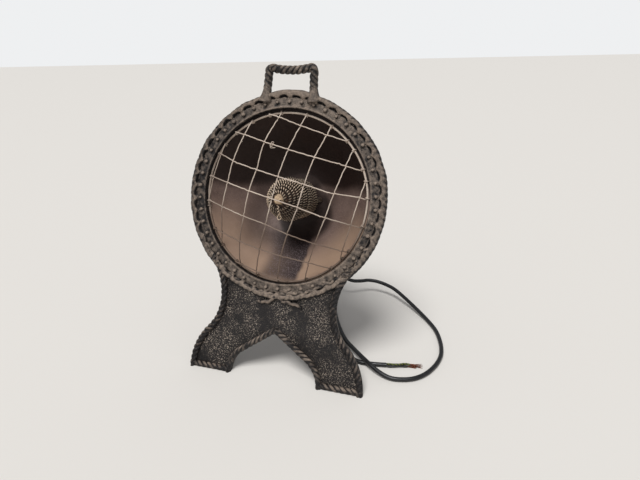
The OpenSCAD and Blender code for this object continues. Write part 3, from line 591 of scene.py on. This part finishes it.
ringProfile = [(ringRadius(line, value, 134, ringR), n) for line, value, n, _ in ringRows]
count = castingSettings["scallops"]
ring = spun(ringProfile, count * castingSettings["stepsPerScallop"])
neckLow = pi - neckAngle  # how far round from the top the rolled edge goes
wearAndShading = []
for vert in ring.data.vertices:
    x, y, n = (c / mm for c in vert.co)
    r, a = hypot(x, y), atan2(y, x)
    row = min(range(len(ringRows)), key=lambda i: dist(ringProfile[i], (r, n)))
    line, value, n, worn = ringRows[row]
    fromTop = abs(atan2(sin(a - pi / 2), cos(a - pi / 2)))
    # the roll's inside is scalloped: hollow between two beads, and run into the band beside a bead
    arch = abs(sin(count * (a - pi / 2) / 2)) ** 0.7
    lobe = smoothstep(0.85, 0.45, arch)
    if row in hollowRows:
        worn += 0.75 * lobe
        n += lobe * (-1.7 - n) * (0.85 if row < 13 else 0.4)
    elif row in beadRows:  # darker round the beads: painted shade
        worn -= 0.1 * (smoothstep(0.15, 0.4, arch) - smoothstep(0.65, 0.95, arch))
    # the casting is out of round, and lumpy
    crown = castingSettings["crown"] * smoothstep(radians(17), radians(6), fromTop)
    lump, small = uneven(x * 0.055, y * 0.055, 0.4), uneven(x * 0.16, y * 0.16, 3.4)
    inner = 131.7 - 1.1 * cos(a) + castingSettings["arches"] * arch + 0.35 * crown + 0.8 * small
    outer = ringR + 2.6 - 0.7 * cos(a) - 1.6 * max(0, sin(a)) + crown + 0.9 * lump
    newR = ringRadius(line, value, inner, outer)
    if n > -10 and line != "band":
        n += 0.55 * small * (1 if row > 11 else 0.3) + 0.5 * lump
    elif n > -10:
        n += 0.25 * small
        worn += 0.25 * small
    past = row - crestRow
    if past > 0:  # strands of the rope, which are smooth under the handle
        turns = a * ringR / castingSettings["ringStrand"] + 0.16 * past
        groove = (1 - abs(sin(pi * turns)) ** 0.55) * min(1, 0.45 + 0.2 * past)
        groove *= smoothstep(0.12, 0.4, fromTop)
        worn -= 0.6 * groove
        newR -= castingSettings["strandDepth"] * groove * (0.3 if past < 3 else 1)
        n -= castingSettings["strandDepth"] * groove * (1 if past < 4 else 0)
    fade = smoothstep(neckLow - 0.10, neckLow + 0.06, fromTop)  # the roll dies away where the legs join
    if fade > 0 and row > 9:
        n = n * (1 - fade) + min(n, -6.0) * fade
        newR = newR * (1 - fade) + min(newR, 135.5) * fade
    vert.co = polar(newR, a, n) * mm
    # painted light and shade: the top is the palest, as lit from above, and the right a little paler; then
    # the bottom, where the outside is painted dark as shade where the legs join
    top, bottom = smoothstep(1.0, 0.2, fromTop), smoothstep(1.9, 2.7, fromTop)
    worn *= 0.72 + 0.28 * bottom + 0.38 * top + 0.1 * cos(a)
    if past > 2:
        worn *= 1 - smoothstep(1.8, 2.5, fromTop) * (0.75 if x > 0 else 0.5)
    wearAndShading.append(max(0, min(1, worn)))
castingPieces.append(toRing(paintPoints(ring, "wearAndShading", wearAndShading)))

# Beads, all of one make, round the ring
clearSelection()
beads = []
for k in range(count):
    a = pi / 2 + 2 * pi * k / count
    size = castingSettings["beadR"] * (1 + 0.3 * uneven(k * 1.3, 0.2, 0)) * mm
    reach = castingSettings["beadCircle"] + 0.9 * uneven(k * 1.9, 4.2, 0)
    place = atRing(polar(reach, a, castingSettings["beadN"]))
    bpy.ops.mesh.primitive_uv_sphere_add(segments=14, ring_count=10, radius=size, location=place)
    # each bead is paler on its upper front and darker below: painted light and shade
    beads.append(paintBy(bpy.context.object, "wearAndShading", lambda co: 0.3 + 0.75 * smoothstep(
        0, 0.9, (0.8 * co.z + 0.6 * co.y) / size)))
castingPieces.append(keepPlace(joined(beads)))
print("ring and beads made")

# Rope mouldings of the legs; their ends reach below the table, to be cut there
ropeN, pitch = castingSettings["ropeN"], castingSettings["strandPitch"]
soleLine = linePoints((footOut - 5, ropeR - 0.2), (footIn + 4, ropeR - 0.2))
for rightLine, radius, n, hand, depth, rub in (
    (legSide(ropeR, 5), castingSettings["legRopeR"], ropeN, 1, 0.3, 0.9),
    (archSide(ropeR, 5), castingSettings["archRopeR"], ropeN + 0.2, -1, 0.22, 1.1),
    (soleLine, castingSettings["soleRopeR"], ropeN + 0.1, 1, 0.22, 0.9),
):
    for line in (rightLine, mirroredPath(rightLine)):
        castingPieces.append(ropeAlong(line, radius, pitch, n, hand, depth, rub=rub))

# The scalloped ribbons that leave the ring and cross under it
ribbonSettings = {
    "left": [(-122, 198), (-118, 190), (-104, 170.5), (-88, 154.4), (-69, 141), (-55, 134), (-36, 127),
             (-17, 124), (-1, 121), (10, 115), (25, 113), (37, 110)],
    "right": [(121, 198), (116, 188), (103, 170), (88, 158), (74, 149), (61, 142), (45, 133), (27, 129),
              (10, 125), (-1, 120), (-13, 112), (-28, 111)],
    "leftN": -2.9, "rightN": -2.4,  # the right one lies over the left one
    "wave": 2.4, "waveLength": 13.5, "radius": 2.7,
}


def ribbonAlong(knots, n, hand):
    line = smoothRoute([(x, y, 0) for x, y in knots], 8)
    points = []
    for i, (p, s) in enumerate(zip(line, arcLengths(line))):
        ahead = line[min(i + 1, len(line) - 1)] - line[max(i - 1, 0)]
        side = Vector((-ahead.y, ahead.x, 0)).normalized()
        swell = abs(sin(pi * s / ribbonSettings["waveLength"])) - 0.5
        off = side * ribbonSettings["wave"] * swell * hand
        shake = noise.noise_vector(Vector((p.x * 0.2, p.y * 0.2, 2.2)))
        points.append((p + off + 0.9 * shake + Vector((0, 0, n + 1.2 * swell))) * mm)
    ribbon = wireCurve(points, ribbonSettings["radius"], 10)
    for i, point in enumerate(ribbon.data.splines[0].points):
        point.radius = (0.95 + 0.3 * uneven(i * 0.21, 5.5, 0)) * (0.75 if i > len(points) - 5 else 1)
    return cleanShell(paintBy(asMesh(ribbon), "wearAndShading", lambda co: (
        0.75 + 0.8 * noise.noise(co * 150)) * smoothstep(-3.6, 0.2, co.z / mm)))


castingPieces += [ribbonAlong(ribbonSettings["left"], ribbonSettings["leftN"], 1),
                  ribbonAlong(ribbonSettings["right"], ribbonSettings["rightN"], -1)]

# Carry handle: a twisted rod on two posts that swell into the ring
handleSettings = {
    "rise": 32.0,        # of the corners above the ring
    "half": 33.0,        # from the middle to a post
    "corner": 4.5,
    "sag": 3.0,
    "n": -4.2,
    "radius": 5.9,
    "pitch": 7.6,
    "rightPost": 0.945,  # the right post stands a little nearer the middle than the left one
    "rootR": 5.2,
    # down a post's root: how far outside the post, above its foot and behind it, and how much it swells
    "root": [(0.4, 22, 0.0, 0.9), (1.0, 14, 0.0, 1.08), (1.8, 7, 0.0, 1.35), (2.4, 2, 0.4, 1.8),
             (2.6, -1, 1.0, 1.9)],
}
half, corner, sag = handleSettings["half"], handleSettings["corner"], handleSettings["sag"]
handleTop, handleN = ringH + ringR + handleSettings["rise"], handleSettings["n"]
rootH = ringH + sqrt(ringR ** 2 - half ** 2) - 7
gripSpan = half - corner
gripR = (gripSpan ** 2 + sag ** 2) / (2 * sag)
gripTurn = asin(gripSpan / gripR)
post = chained(arcPoints(gripSpan, handleTop - corner, corner, pi / 2, 0, 1.4),
               linePoints((half, handleTop - corner), (half + 1.5, rootH), 1.4))
grip = arcPoints(0, handleTop - sag + gripR, gripR, -pi / 2 - gripTurn, -pi / 2 + gripTurn, 1.4)
handlePath = [(x * (handleSettings["rightPost"] if x > 0 else 1), y)
              for x, y in chained(mirroredPath(post), grip, post)]
castingPieces.append(ropeAlong(handlePath, handleSettings["radius"], handleSettings["pitch"], handleN, -1,
                               wobble=0.3, rub=1.15, dustAndLight=0.15))
for side in (-1, 1):
    inward = (1 - handleSettings["rightPost"]) * half if side > 0 else 0
    line = [Vector((side * (half + aside) - inward, rootH + up, handleN - back)) * mm
            for aside, up, back, _ in handleSettings["root"]]
    root = wireCurve(line, handleSettings["rootR"], 16)
    for point, (*_, size) in zip(root.data.splines[0].points, handleSettings["root"]):
        point.radius = size
    root = paintBy(asMesh(root), "wearAndShading", lambda co: 0.35 + 0.4 * smoothstep(-6, 4, co.z / mm))
    castingPieces.append(cleanShell(root))

# Sand-cast grey iron under old black japan: gritty and dull, black in the hollows, with painted shade there
# too, rubbed through to grey-brown metal on what stands proud, where painted light on upper sides and crests
# is added, and dusty where the legs' panel is flat.
# The sand's grit is drawn about three times too coarse, so that it shows
japannedIron, tree, shader = newMaterial("sand-cast iron, worn japanning", 0.6, 0.15)
wearAndShading = addNode(tree, "ShaderNodeAttribute", attribute_name="wearAndShading").outputs["Fac"]
patches, lumps = grains(tree, 30, low=0.4, high=0.6), grains(tree, 5.5, low=0.36, high=0.64)
grit, fine = grains(tree, 1.6, 3, 0.65, 0.555, 0.6), grains(tree, 0.9, 3, low=0.45, high=0.7)
worn = addNode(tree, "ShaderNodeMath", {0: lumps, 1: 0.4, 2: wearAndShading}, operation="MULTIPLY_ADD").outputs[0]
rub = addNode(tree, "ShaderNodeMapRange", {"Value": worn, "From Min": 0.55, "From Max": 1.3})
rubbedAndLit = rub.outputs["Result"]
thick = addNode(tree, "ShaderNodeMapRange", {"Value": patches, "To Min": 0.05}).outputs["Result"]
dress(tree, shader, "#110e0f", [
    ("#231e1d", 0.6, patches), ("#302a29", 0.3, lumps), ("#97877a", 0.92, rubbedAndLit),
    ("#bba893", 0.55, fine, rubbedAndLit), ("#c4b5a5", 0.95, grit, "panel", thick),
], [(lumps, 0.5), (grit, 0.45), (fine, 0.2)], (rubbedAndLit, 0.5, 0.75))
casting = cutAtTable(standUp(joined(castingPieces)))
settle(casting, "castFront", japannedIron, "front_frame", smooth=50)
print("front casting made,", len(casting.data.polygons), "faces")

# Bowl, with the sheet's thickness
bowlSettings = {
    "depth": 73.0, "floorR": 37.0, "mouthR": 116.0, "flange": 15.0, "sheet": 1.2, "hole": 23.0, "steps": 56,
}
floorR, mouthR, sheet, steps = (bowlSettings[key] for key in ("floorR", "mouthR", "sheet", "steps"))


def bowlN(r):
    f = max(r - floorR, 0) / (mouthR - floorR)
    return heater["castBack"] - bowlSettings["depth"] + bowlSettings["depth"] * f ** 1.75


radii = [floorR + (mouthR - floorR) * t for t in shares(steps)]
inside = [(bowlSettings["hole"], bowlN(0))] + [(r, bowlN(r)) for r in radii]
flangeR = mouthR + bowlSettings["flange"]
outside = [(flangeR, heater["castBack"] - 0.05), (flangeR, heater["castBack"] - sheet)]
outside += [(r + sheet * t, bowlN(r) - sheet) for t, r in reversed(list(zip(shares(steps), radii)))]
outside += [(bowlSettings["hole"], bowlN(0) - sheet)]
bowl = spun(inside + outside, 216)
stainsAndShade = {"sootAndShade": [], "shadowAndBareMetal": [], "tan": []}
for vert in bowl.data.vertices:  # what years of heat left on the copper, with painted shade and shadow, by place; the back is evenly brown
    x, y = vert.co.x / mm, vert.co.y / mm
    r = hypot(x, y)
    drift = 9 * uneven(x * 0.03, y * 0.03, 0.8)
    front = vert.co.z / mm > bowlN(min(r, mouthR)) - 0.6 * sheet
    # soot and painted shade above the element, the element's painted shadow round its foot, soot in two
    # smudges to the left, and thinly all over the floor
    burntAndShaded = smoothstep(6, 26, y + 0.7 * drift) * smoothstep(24, 40, r)
    shade = smoothstep(53, 38, hypot(x - 4, y + 22) + drift * 0.4)
    smudge = max(smoothstep(46, 20, hypot(x + 46, 0.8 * (y + 38)) + drift) * 0.5,
                 smoothstep(48, 22, hypot(x + 18, y + 38) + drift) * 0.55)
    sootAndShade = max(0.93 * burntAndShaded, 0.95 * shade, smudge, 0.5 * smoothstep(74, 52, r + 0.15 * x))
    stainsAndShade["sootAndShade"].append(sootAndShade if front else 0.55 + 0.02 * drift)
    # a dark purple-grey patch below the element, with a sharp right edge: the element's painted shadow, over
    # copper bare of dust
    shadowAndBareMetal = smoothstep(24.5, 20.5, x + 0.8 * sin(y * 0.4)) * smoothstep(-44, -20, x + drift)
    shadowAndBareMetal *= smoothstep(-44, -60, y) * smoothstep(-126, -108, y + 0.4 * drift)
    stainsAndShade["shadowAndBareMetal"].append(shadowAndBareMetal * (0.75 + 0.25 * smoothstep(-30, 15, x)) * front)
    # a bloom of tan dust on the lower slope
    tan = smoothstep(64, 106, r) * smoothstep(4, -60, y + drift) * (1 - 0.3 * smoothstep(-20, -75, x))
    stainsAndShade["tan"].append(tan * front)
for name, values in stainsAndShade.items():
    paintPoints(bowl, name, values)
standUp(toRing(bowl))
# Spun copper, browned by heat and years: soot-black above the element, with painted shade there, the
# element's painted shadow round its foot and below it, a dull tan bloom of dust below it, with the dust's
# specks drawn coarser than they are
copper, tree, shader = newMaterial("spun copper, heat-browned and blackened, with painted shade", 0.5, 0.3)
cloud, speck = grains(tree, 38, 5), grains(tree, 1.8, 4, 0.7, 0.5, 0.66)
dress(tree, shader, "#88736b", [
    ("#5f4c46", 0.75, cloud), ("#bb9d85", 0.9, "tan"), ("#ad9484", 0.35, speck),
    ("#2e2528", 0.95, "shadowAndBareMetal"), ("#8f8082", 0.8, speck, "shadowAndBareMetal"), ("#1e0f0a", 1.0, "sootAndShade"),
], [(cloud, 0.35), (speck, 0.06)], (cloud, 0.42, 0.62))
settle(bowl, "copperBowl", copper, "reflector_bowl", smooth=35)
print("bowl made")

# Wire guard
guardSettings = {
    "hoopR": 118.2, "hoopN": -9.4, "hoopWire": 1.5, "hoopSag": 1.8, "rise": 38.0, "wireR": 0.76,
    "pitch": 34.5, "turn": 14.0, "knot": (-10.5, 70.3, 21.6),
    # of each set: how far it lies off the dome, how far it is moved aside, and how far each wire
    # is bent aside at its seven crossings, from its first to its last
    "upright": {"layer": 2.7, "shift": 3.2, "bends": [
        (-1.5, -1.5, -1.5, -2.5, -1.5, -1.5, -1.5), (3.0, 1.5, -1.5, -5.0, -6.0, -7.5, -8.0),
        (5.0, 4.5, 1.5, -2.5, -1.5, -1.0, -4.0), (3.0, 1.0, -1.5, -1.0, 0.5, 1.0, -0.5),
        (-3.0, -0.5, -1.0, 0.5, -1.0, 3.5, 0.5), (-1.0, -1.0, 4.0, 4.0, 6.0, 5.0, 3.0),
        (0.0, 0.5, 1.0, 1.5, 1.0, 0.5, 0.0),
    ]},
    "cross": {"layer": 4.8, "shift": -6.3, "bends": [
        (0.0, 0.3, 0.6, 0.0, -0.5, 0.0, 0.0), (1.0, 1.0, 0.0, 0.0, 2.0, 4.5, 5.0),
        (2.5, 2.5, 2.0, 2.5, -0.5, -1.5, -0.5), (2.0, 2.5, 2.5, 3.0, 3.0, 1.0, 1.5),
        (1.5, -2.5, -2.5, -2.0, -1.0, -1.5, 4.0), (2.0, 2.0, 0.5, 0.5, 1.0, 2.5, 3.0),
        (3.0, 3.5, 3.5, 0.5, -1.0, -1.0, -1.0),
    ]},
}
domeR = (guardSettings["hoopR"] ** 2 + guardSettings["rise"] ** 2) / (2 * guardSettings["rise"])


def hoopRadius(angle):  # the hoop is bent in at the top right
    bent = smoothstep(2.75, 2.1, angle) if angle > 0 else 1
    return guardSettings["hoopR"] - guardSettings["hoopSag"] * bent * (1 + cos(angle - radians(50)))


def guardWire(k, across, seed):
    own = guardSettings["cross" if across else "upright"]
    pitch, bends = guardSettings["pitch"], own["bends"][k + 3]
    offset = k * pitch + own["shift"]
    r = sqrt((domeR + own["layer"]) ** 2 - offset ** 2)
    reach = asin(sqrt(guardSettings["hoopR"] ** 2 - offset ** 2) / r)
    turn = radians(-guardSettings["turn"] + (0 if across else 90))
    crossing = -guardSettings["upright"]["shift"] if across else guardSettings["cross"]["shift"]
    points = []
    for t in shares(int(2 * reach * r / 1.5)):
        a = -reach + 2 * reach * t
        along = r * sin(a)
        n = guardSettings["hoopN"] + guardSettings["rise"] - domeR + r * cos(a)
        crossed = (along - crossing) / pitch
        step = max(0, min(5.999, crossed + 3))
        i, f = int(step), step % 1
        side = offset + bends[i] * (1 - f) + bends[i + 1] * f
        kink = exp(-((crossed - round(crossed)) * pitch / 2.6) ** 2)  # over and under the other wires
        fine = noise.noise_vector(Vector((along * 0.16, seed * 1.9, 0.3)))
        side += 0.55 * fine.x + 0.6 * kink * sin(along * 0.9 + seed)
        n += 0.5 * fine.y + (0.75 if across else -0.6) * kink
        x = along * cos(turn) - side * sin(turn)
        y = along * sin(turn) + side * cos(turn)
        if hypot(x, y) < hoopRadius(atan2(y, x)) - 0.5:
            points.append((x, y, n))
    return points


def hookedEnd(end, seed):  # one and a half turns round the hoop, with a short tail that stands off it
    angle = atan2(end[1], end[0])
    radial, along, up = polar(1, angle), polar(1, angle + pi / 2), Vector((0, 0, 1))
    middle = radial * hoopRadius(angle) + up * guardSettings["hoopN"]
    hook = []
    r = guardSettings["hoopWire"] + guardSettings["wireR"] + 0.15
    for k in range(1, 22):
        a = radians(95 - 25 * k)
        hook.append(middle + r * (cos(a) * -radial + sin(a) * up) + along * (0.13 * k))
    tail = 2.2 + 2.2 * abs(uneven(seed * 1.7, 3.3, 0))
    hook.append(hook[-1] + tail * up - 0.5 * tail * radial + 0.5 * along)
    return [(p.x, p.y, max(p.z, heater["castBack"] + 0.25)) for p in hook]  # clear of the bowl's flange


# Galvanised iron wire gone dull: pale oxide and dust above, browned by rust and darkened by painted shade in
# the lower half and to the left
guardWireMetal, tree, shader = newMaterial("dull galvanised wire, browned, with painted shade", 0.6, 0.15)
patches, spots = grains(tree, 12), grains(tree, 1.2, 3)
dress(tree, shader, "#dccdbe", [
    ("#a58f7f", 0.45, patches), ("#9a8575", 0.3, spots), ("#5d4738", 0.85, "rustAndShade"),
], [(spots, 0.08)])


def settleGuard(obj, name, node):
    # darker in the lower half and to the left: rust and painted shade
    rustAndShade = []
    for vert in obj.data.vertices:
        x, y = vert.co.x / mm, vert.co.y / mm - ringH
        rustAndShade.append(smoothstep(-5, -55, y + 18 * noise.noise(vert.co * 35)) + 0.5 * smoothstep(-60, -100, x))
    paintPoints(obj, "rustAndShade", [min(1, r) for r in rustAndShade])
    settle(standUp(obj), name, guardWireMetal, node, smooth=60)


hoopLine = []
for t in shares(220)[:-1]:
    a = 2 * pi * t
    r = hoopRadius(atan2(sin(a), cos(a))) + 0.5 * uneven(3 * cos(a), 3 * sin(a), 6)
    hoopLine.append(atRing(polar(r, a, guardSettings["hoopN"])))
settleGuard(wireMesh(hoopLine, guardSettings["hoopWire"], 10, closed=True), "guardHoop", "guard_hoop")
for name, node, across in (("guardUpright", "guard_upright_wires", False),
                           ("guardCross", "guard_cross_wires", True)):
    wires = []
    for k in range(-3, 4):
        seed = k + (10 if across else 0)
        points = guardWire(k, across, seed)
        start, end = hookedEnd(points[0], seed), hookedEnd(points[-1], seed + 0.5)
        line = list(reversed(start)) + points[1:-1] + end
        wires.append(wireMesh([atRing(Vector(p)) for p in line], guardSettings["wireR"]))
    if across:  # a mend: thin wire twisted round one wire, with its end left standing
        x, y, n = guardSettings["knot"]
        twist = []
        for t in shares(33):
            a = 24.75 * t
            turned = Vector((1.5 * cos(a), 1.3 * sin(a), 1.4 * sin(a * 0.5)))
            end = Vector((5 if t == 1 else 0, 0, 0))
            twist.append(atRing(Vector((x - 3 * t, y - 5.8 * t, n - 0.8 * t)) + turned + end))
        wires.append(wireMesh(twist, 0.5, 6))
    settleGuard(joined(wires), name, node)
print("guard made")

# Beehive element
elementSettings = {
    "tip": 16.5, "cone": 38.5, "barrel": 49.0,
    "knobR": 6.0, "shoulderR": 24.8, "heelR": 24.9,
    "bead": 3.4,                   # depth of the moulding at the shoulder
    "droop": 0.045, "aside": 0.035, "pivot": -30.0,
    "turns": 15, "seat": 2.2, "coilR": 2.35, "wireR": 0.54,
    "loopPitch": 3.4,              # loops a little apart, so that they show
    "coneShare": 0.42, "start": 0.035, "end": 0.97,  # of the coil on the cone
}
tip, barrel, bead = (elementSettings[key] for key in ("tip", "barrel", "bead"))
knobR, shoulderR, heelR = (elementSettings[key] for key in ("knobR", "shoulderR", "heelR"))
knobH = knobR * 0.75
coneTop = tip - knobH
shoulderN = tip - elementSettings["cone"]
heelN = shoulderN - barrel


def coneRadius(f):
    return knobR + (shoulderR - knobR) * sin(pi / 2 * f) ** 0.85


def barrelRadius(f):
    return shoulderR - 1 + (heelR - shoulderR + 1) * f


def hung(p):  # mm from the axis -> the casting's plane, m: it hangs a little down and to the left
    return atRing(Vector((p.x - elementSettings["aside"] * (p.z - elementSettings["pivot"]),
                          p.y - elementSettings["droop"] * (p.z - heelN), p.z)))


profile = [(0.0, tip)]
profile += [(knobR * sin(radians(a)), coneTop + knobH * cos(radians(a)))
            for a in range(15, 91, 15)]
profile += [(coneRadius(f), coneTop - (coneTop - shoulderN) * f) for f in shares(24)[1:]]
profile += [(shoulderR + out, shoulderN - down) for out, down in ((0.4, 0.4), (0.7, 1.4), (0.3, 2.6))]
profile += [(barrelRadius(0), shoulderN - bead), (heelR + 0.6, heelN + 2), (heelR, heelN), (0.0, heelN)]
former = cleanShell(spun(profile, 72), 0.03)
# Holes in the knob, where the coil's ends were threaded, shown as small dark spheres: painted shade
knobHoles = [Vector((r * 0.98, -0.2 * r, n)) * mm for r, n in ((3.9, tip - 1.3), (5.4, tip - 3.1))]
clearSelection()
holes = []
for place in knobHoles:
    bpy.ops.mesh.primitive_uv_sphere_add(segments=12, ring_count=8, radius=0.85 * mm, location=place)
    holes.append(bpy.context.object)
former = keepPlace(joined([former] + holes))


def bareClay(co):  # 1 on the knob, which the coil leaves free, and 0 in its holes, which are dark as painted shade
    edge = co.z / mm + 1.6 * noise.noise(co * 300) + 0.12 * co.y / mm
    away = min((co - place).length for place in knobHoles) / mm
    return smoothstep(coneTop - 1.2, coneTop + 0.4, edge) * max(0, min(1, (away - 0.95) * 4))


paintBy(former, "bare", bareClay)
for vert in former.data.vertices:
    if vert.co.z > coneTop * mm:  # the knob is worn out of round
        vert.co *= 1 + 0.05 * noise.noise(vert.co * 260)
    vert.co = hung(vert.co / mm)
standUp(former)
# Fired clay, unglazed: matt, tan where the knob is bare, dark brown under the coil as painted shade between
# its loops
fireclay, tree, shader = newMaterial("fired clay, with painted shade under the coil", 0.9, 0.0, 1.5)
crumbs, dents = grains(tree, 2.2), grains(tree, 4.0, 3, low=0.4, high=0.6)
dress(tree, shader, "#15100d", [
    ("#241a14", 0.4, crumbs), ("#d8bd9c", 0.97, "bare"), ("#7d5a44", 0.35, dents),
], [(crumbs, 0.3), (dents, 0.5)])
settle(former, "clayFormer", fireclay, "element_former", smooth=50)


def coilPlace(f):  # radius and n of the coil's middle line, with f from 0 at the knob to 1 at the heel
    share, start, end = (elementSettings[key] for key in ("coneShare", "start", "end"))
    seat, wound = elementSettings["seat"], coneTop - shoulderN
    if f < share:  # off the cone's surface, square to it
        g = start + (end - start) * f / share
        slope = (coneRadius(g + 0.01) - coneRadius(g - 0.01)) / 0.02
        off = (seat + 0.4) / hypot(slope, wound)
        return coneRadius(g) + off * wound, coneTop - wound * g + off * slope
    g = (f - share) / (1 - share)
    over = max(0, min(1, (0.2 - g) * 12))  # it climbs over the shoulder's moulding
    n = shoulderN + (1 - end) * wound * (1 - g) - barrel * 0.93 * g
    h = max(0, (shoulderN - bead - n) / (barrel - bead))
    return barrelRadius(h) + seat + 0.2 + 3 * over, n


def spiralAlong(spine, outR, pitch, perLoop=10):  # a fine spiral wound along a line of points
    lengths = arcLengths(spine)
    loops = int(lengths[-1] / pitch)
    line, index = [], 0
    for f in shares(loops * perLoop):
        s = lengths[-1] * f
        while index < len(spine) - 2 and lengths[index + 1] < s:
            index += 1
        p, q = spine[index], spine[index + 1]
        at = p.lerp(q, (s - lengths[index]) / max(lengths[index + 1] - lengths[index], 1e-9))
        ahead = (q - p).normalized()
        up = ahead.cross(Vector((at.x, at.y, 0)).normalized()).normalized()
        radial = up.cross(ahead).normalized()
        a = 2 * pi * loops * f
        line.append(at + outR * (cos(a) * radial + sin(a) * up))
    return line


def elementWire(line, sides):
    return wireMesh([hung(p) for p in line], elementSettings["wireR"], sides)


def dustedAndLit(coil, spine):  # dust and painted light lie on the outside of the fine spiral, the most on the cone's upper left; its inside stays dark, as painted shade
    tree = treeOf([hung(p) for p in spine])
    out = []
    for vert in coil.data.vertices:
        at = tree.find(vert.co)[0]
        onCone = at.z > shoulderN * mm
        away = Vector((at.x, at.y - ringH * mm, 0.012 if onCone else 0)).normalized()
        # paler on the cone's upper left: painted light, with dust
        upperLeftLight = 0.25 + 0.75 * smoothstep(-0.7, 0.4, 0.8 * away.y - 0.5 * away.x) if onCone else 0.42
        outward = (vert.co - at).dot(away) / (elementSettings["coilR"] * mm)
        out.append(upperLeftLight * smoothstep(-0.15, 0.75, outward))
    return paintPoints(coil, "dustAndLight", out)


# The coil is a fine spiral wound in a larger spiral round the former
turns, spine = elementSettings["turns"], []
for f in shares(turns * 90):
    r, n = coilPlace(f)
    spine.append(polar(r, 2 * pi * turns * f, n))
spiral = spiralAlong(spine, elementSettings["coilR"] - elementSettings["wireR"], elementSettings["loopPitch"])
coil = dustedAndLit(elementWire(spiral, 4), spine)
# Its outer end has come loose: a stretched run from the knob, ending in an open eye
loose = []
for t in shares(30):
    n = 12.0 - 9.0 * t ** 1.2 + 1.5 * sin(pi * t)
    loose.append(polar(7.0 + 15.5 * t, radians(268 + 1.5 * t), n))
eyeMiddle = loose[-1] + Vector((0, -1.8, 0.8))
eye = [eyeMiddle + polar(3.0, a, 0.3 * a) for a in (pi / 2 + 0.35 * j for j in range(17))]
ends = [elementWire(line, 6) for line in (spiralAlong(loose, 1.3, 4.6), eye)]
for piece in ends:
    paintBy(piece, "dustAndLight", lambda co: 0.8)
coil = standUp(joined([coil] + ends))
# Nickel-chromium resistance wire, oxidised grey-tan, with pale dust and painted light on the loops' outside,
# and near-black painted shade inside them
resistance, tree, shader = newMaterial("oxidised resistance wire", 0.6, 0.2)
spots, patches = grains(tree, 1.6, 3), grains(tree, 14)
dress(tree, shader, "#14100e", [
    ("#fbe3c8", 1.0, "dustAndLight"), ("#8d7862", 0.15, patches), ("#7a6653", 0.15, spots),
], [(spots, 0.03)])
settle(coil, "elementCoil", resistance, "element_coil", smooth=60)
print("element made,", len(coil.data.polygons), "faces on the coil")

# The solids that stay keep their shape. Turned and pressed brass gone brown: dull yellow, dark in spots
brass = dullMetal("tarnished brass", "#9c7b45", "#5a4630", 0.45, 0.9, 1.0, 0.03, 6)
# Turned mild steel, grey under a brown bloom
steel = dullMetal("dull steel screws", "#6d655c", "#4a3b31", 0.5, 0.8, 0.8, 0.04, 4)
# Sheet steel, pressed and stove enamelled: black, browned where it has worn
cover = dullMetal("black enamelled steel, worn", "#26221f", "#4a3c33", 0.5, 0.3, 1.0, 0.06, 18)
# Porcelain under a brown glaze: glossy and faintly mottled
porcelain = plainSkin("brown-glazed porcelain", "#4a3b31", "#2c2420", 0.22, 8.0, 0.02, 1.52)
# Moulded insulating compound: dark, half matt
compound = plainSkin("dark insulating compound", "#231d1a", "#171311", 0.4, 2.0)
# Moulded rubber: matt black
rubber = plainSkin("moulded black rubber", "#1a1a1a", "#29282a", 0.75, 1.5, 0.04, 1.52)
# Extruded soft PVC on the leads: half matt, one colour right through
liveSkin = plainSkin("brown soft PVC", "#5b3a26", "#46301f", 0.45, 2.0)
neutralSkin = plainSkin("blue soft PVC", "#345078", "#2a3f5c", 0.45, 2.0)
for material, nodes in (
    (steel, ("bowl_screws", "holder_screws", "holder_nuts", "cover_pillars", "cover_screws", "bracket_screws",
             "hinge_pin", "pin_washer", "stop_pin")),
    (brass, ("element_shell", "element_contact", "holder_shell", "holder_spring", "terminal_screws")),
    (compound, ("shell_insulator",)), (porcelain, ("lampholder",)), (cover, ("rear_cover",)),
    (rubber, ("cord_bush",)), (liveSkin, ("live_lead",)), (neutralSkin, ("neutral_lead",)),
    (earthPvc, ("earth_lead",)), (japannedIron, ("leg_bracket", "rear_leg")),
):
    for node in nodes:
        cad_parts[node].data.materials.clear()
        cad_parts[node].data.materials.append(material)
print("kept solids dressed")

# Floor, backdrop and light
stageSettings = {
    "floor": "#e4e0da", "floorSize": 80,
    "sunFrom": (-0.05, -0.5, 1.0), "sun": 2.4, "softness": 26.0,
    "sky": 0.45, "skyColour": (0.75, 0.76, 0.78, 1), "backdrop": (0.86, 0.87, 0.88, 1),
}
clearSelection()
bpy.ops.mesh.primitive_plane_add(size=stageSettings["floorSize"], location=(0, 0, 0))
floor = bpy.context.object
floor.name = "paleFloor"
floorPaper, tree, shader = newMaterial("pale matt paper", 0.9, 0.0, 1.45)
shader.inputs["Base Color"].default_value = hexColour(stageSettings["floor"])
floor.data.materials.append(floorPaper)

world = bpy.data.worlds.new("studio")
bpy.context.scene.world = world
world.use_nodes = True
tree = world.node_tree
sky = tree.nodes["Background"]
sky.inputs["Color"].default_value = stageSettings["skyColour"]
sky.inputs["Strength"].default_value = stageSettings["sky"]
backdrop = addNode(tree, "ShaderNodeBackground", {"Color": stageSettings["backdrop"], "Strength": 1.0})
rays = addNode(tree, "ShaderNodeLightPath")
seen = addNode(tree, "ShaderNodeMath", operation="MAXIMUM",
               inputs={0: rays.outputs["Is Camera Ray"], 1: rays.outputs["Is Transmission Ray"]})
mixed = addNode(tree, "ShaderNodeMixShader", {0: seen.outputs[0], 1: sky.outputs[0], 2: backdrop.outputs[0]})
tree.links.new(mixed.outputs[0], tree.nodes["World Output"].inputs["Surface"])

bpy.ops.object.light_add(type="SUN", location=stageSettings["sunFrom"])
sun = bpy.context.object
sun.name = "softSun"
sun.data.energy = stageSettings["sun"]
sun.data.angle = radians(stageSettings["softness"])
sun.rotation_euler = Vector(stageSettings["sunFrom"]).to_track_quat("Z", "Y").to_euler()
bpy.context.scene.view_settings.view_transform = "Standard"
print("stage and lamps set")
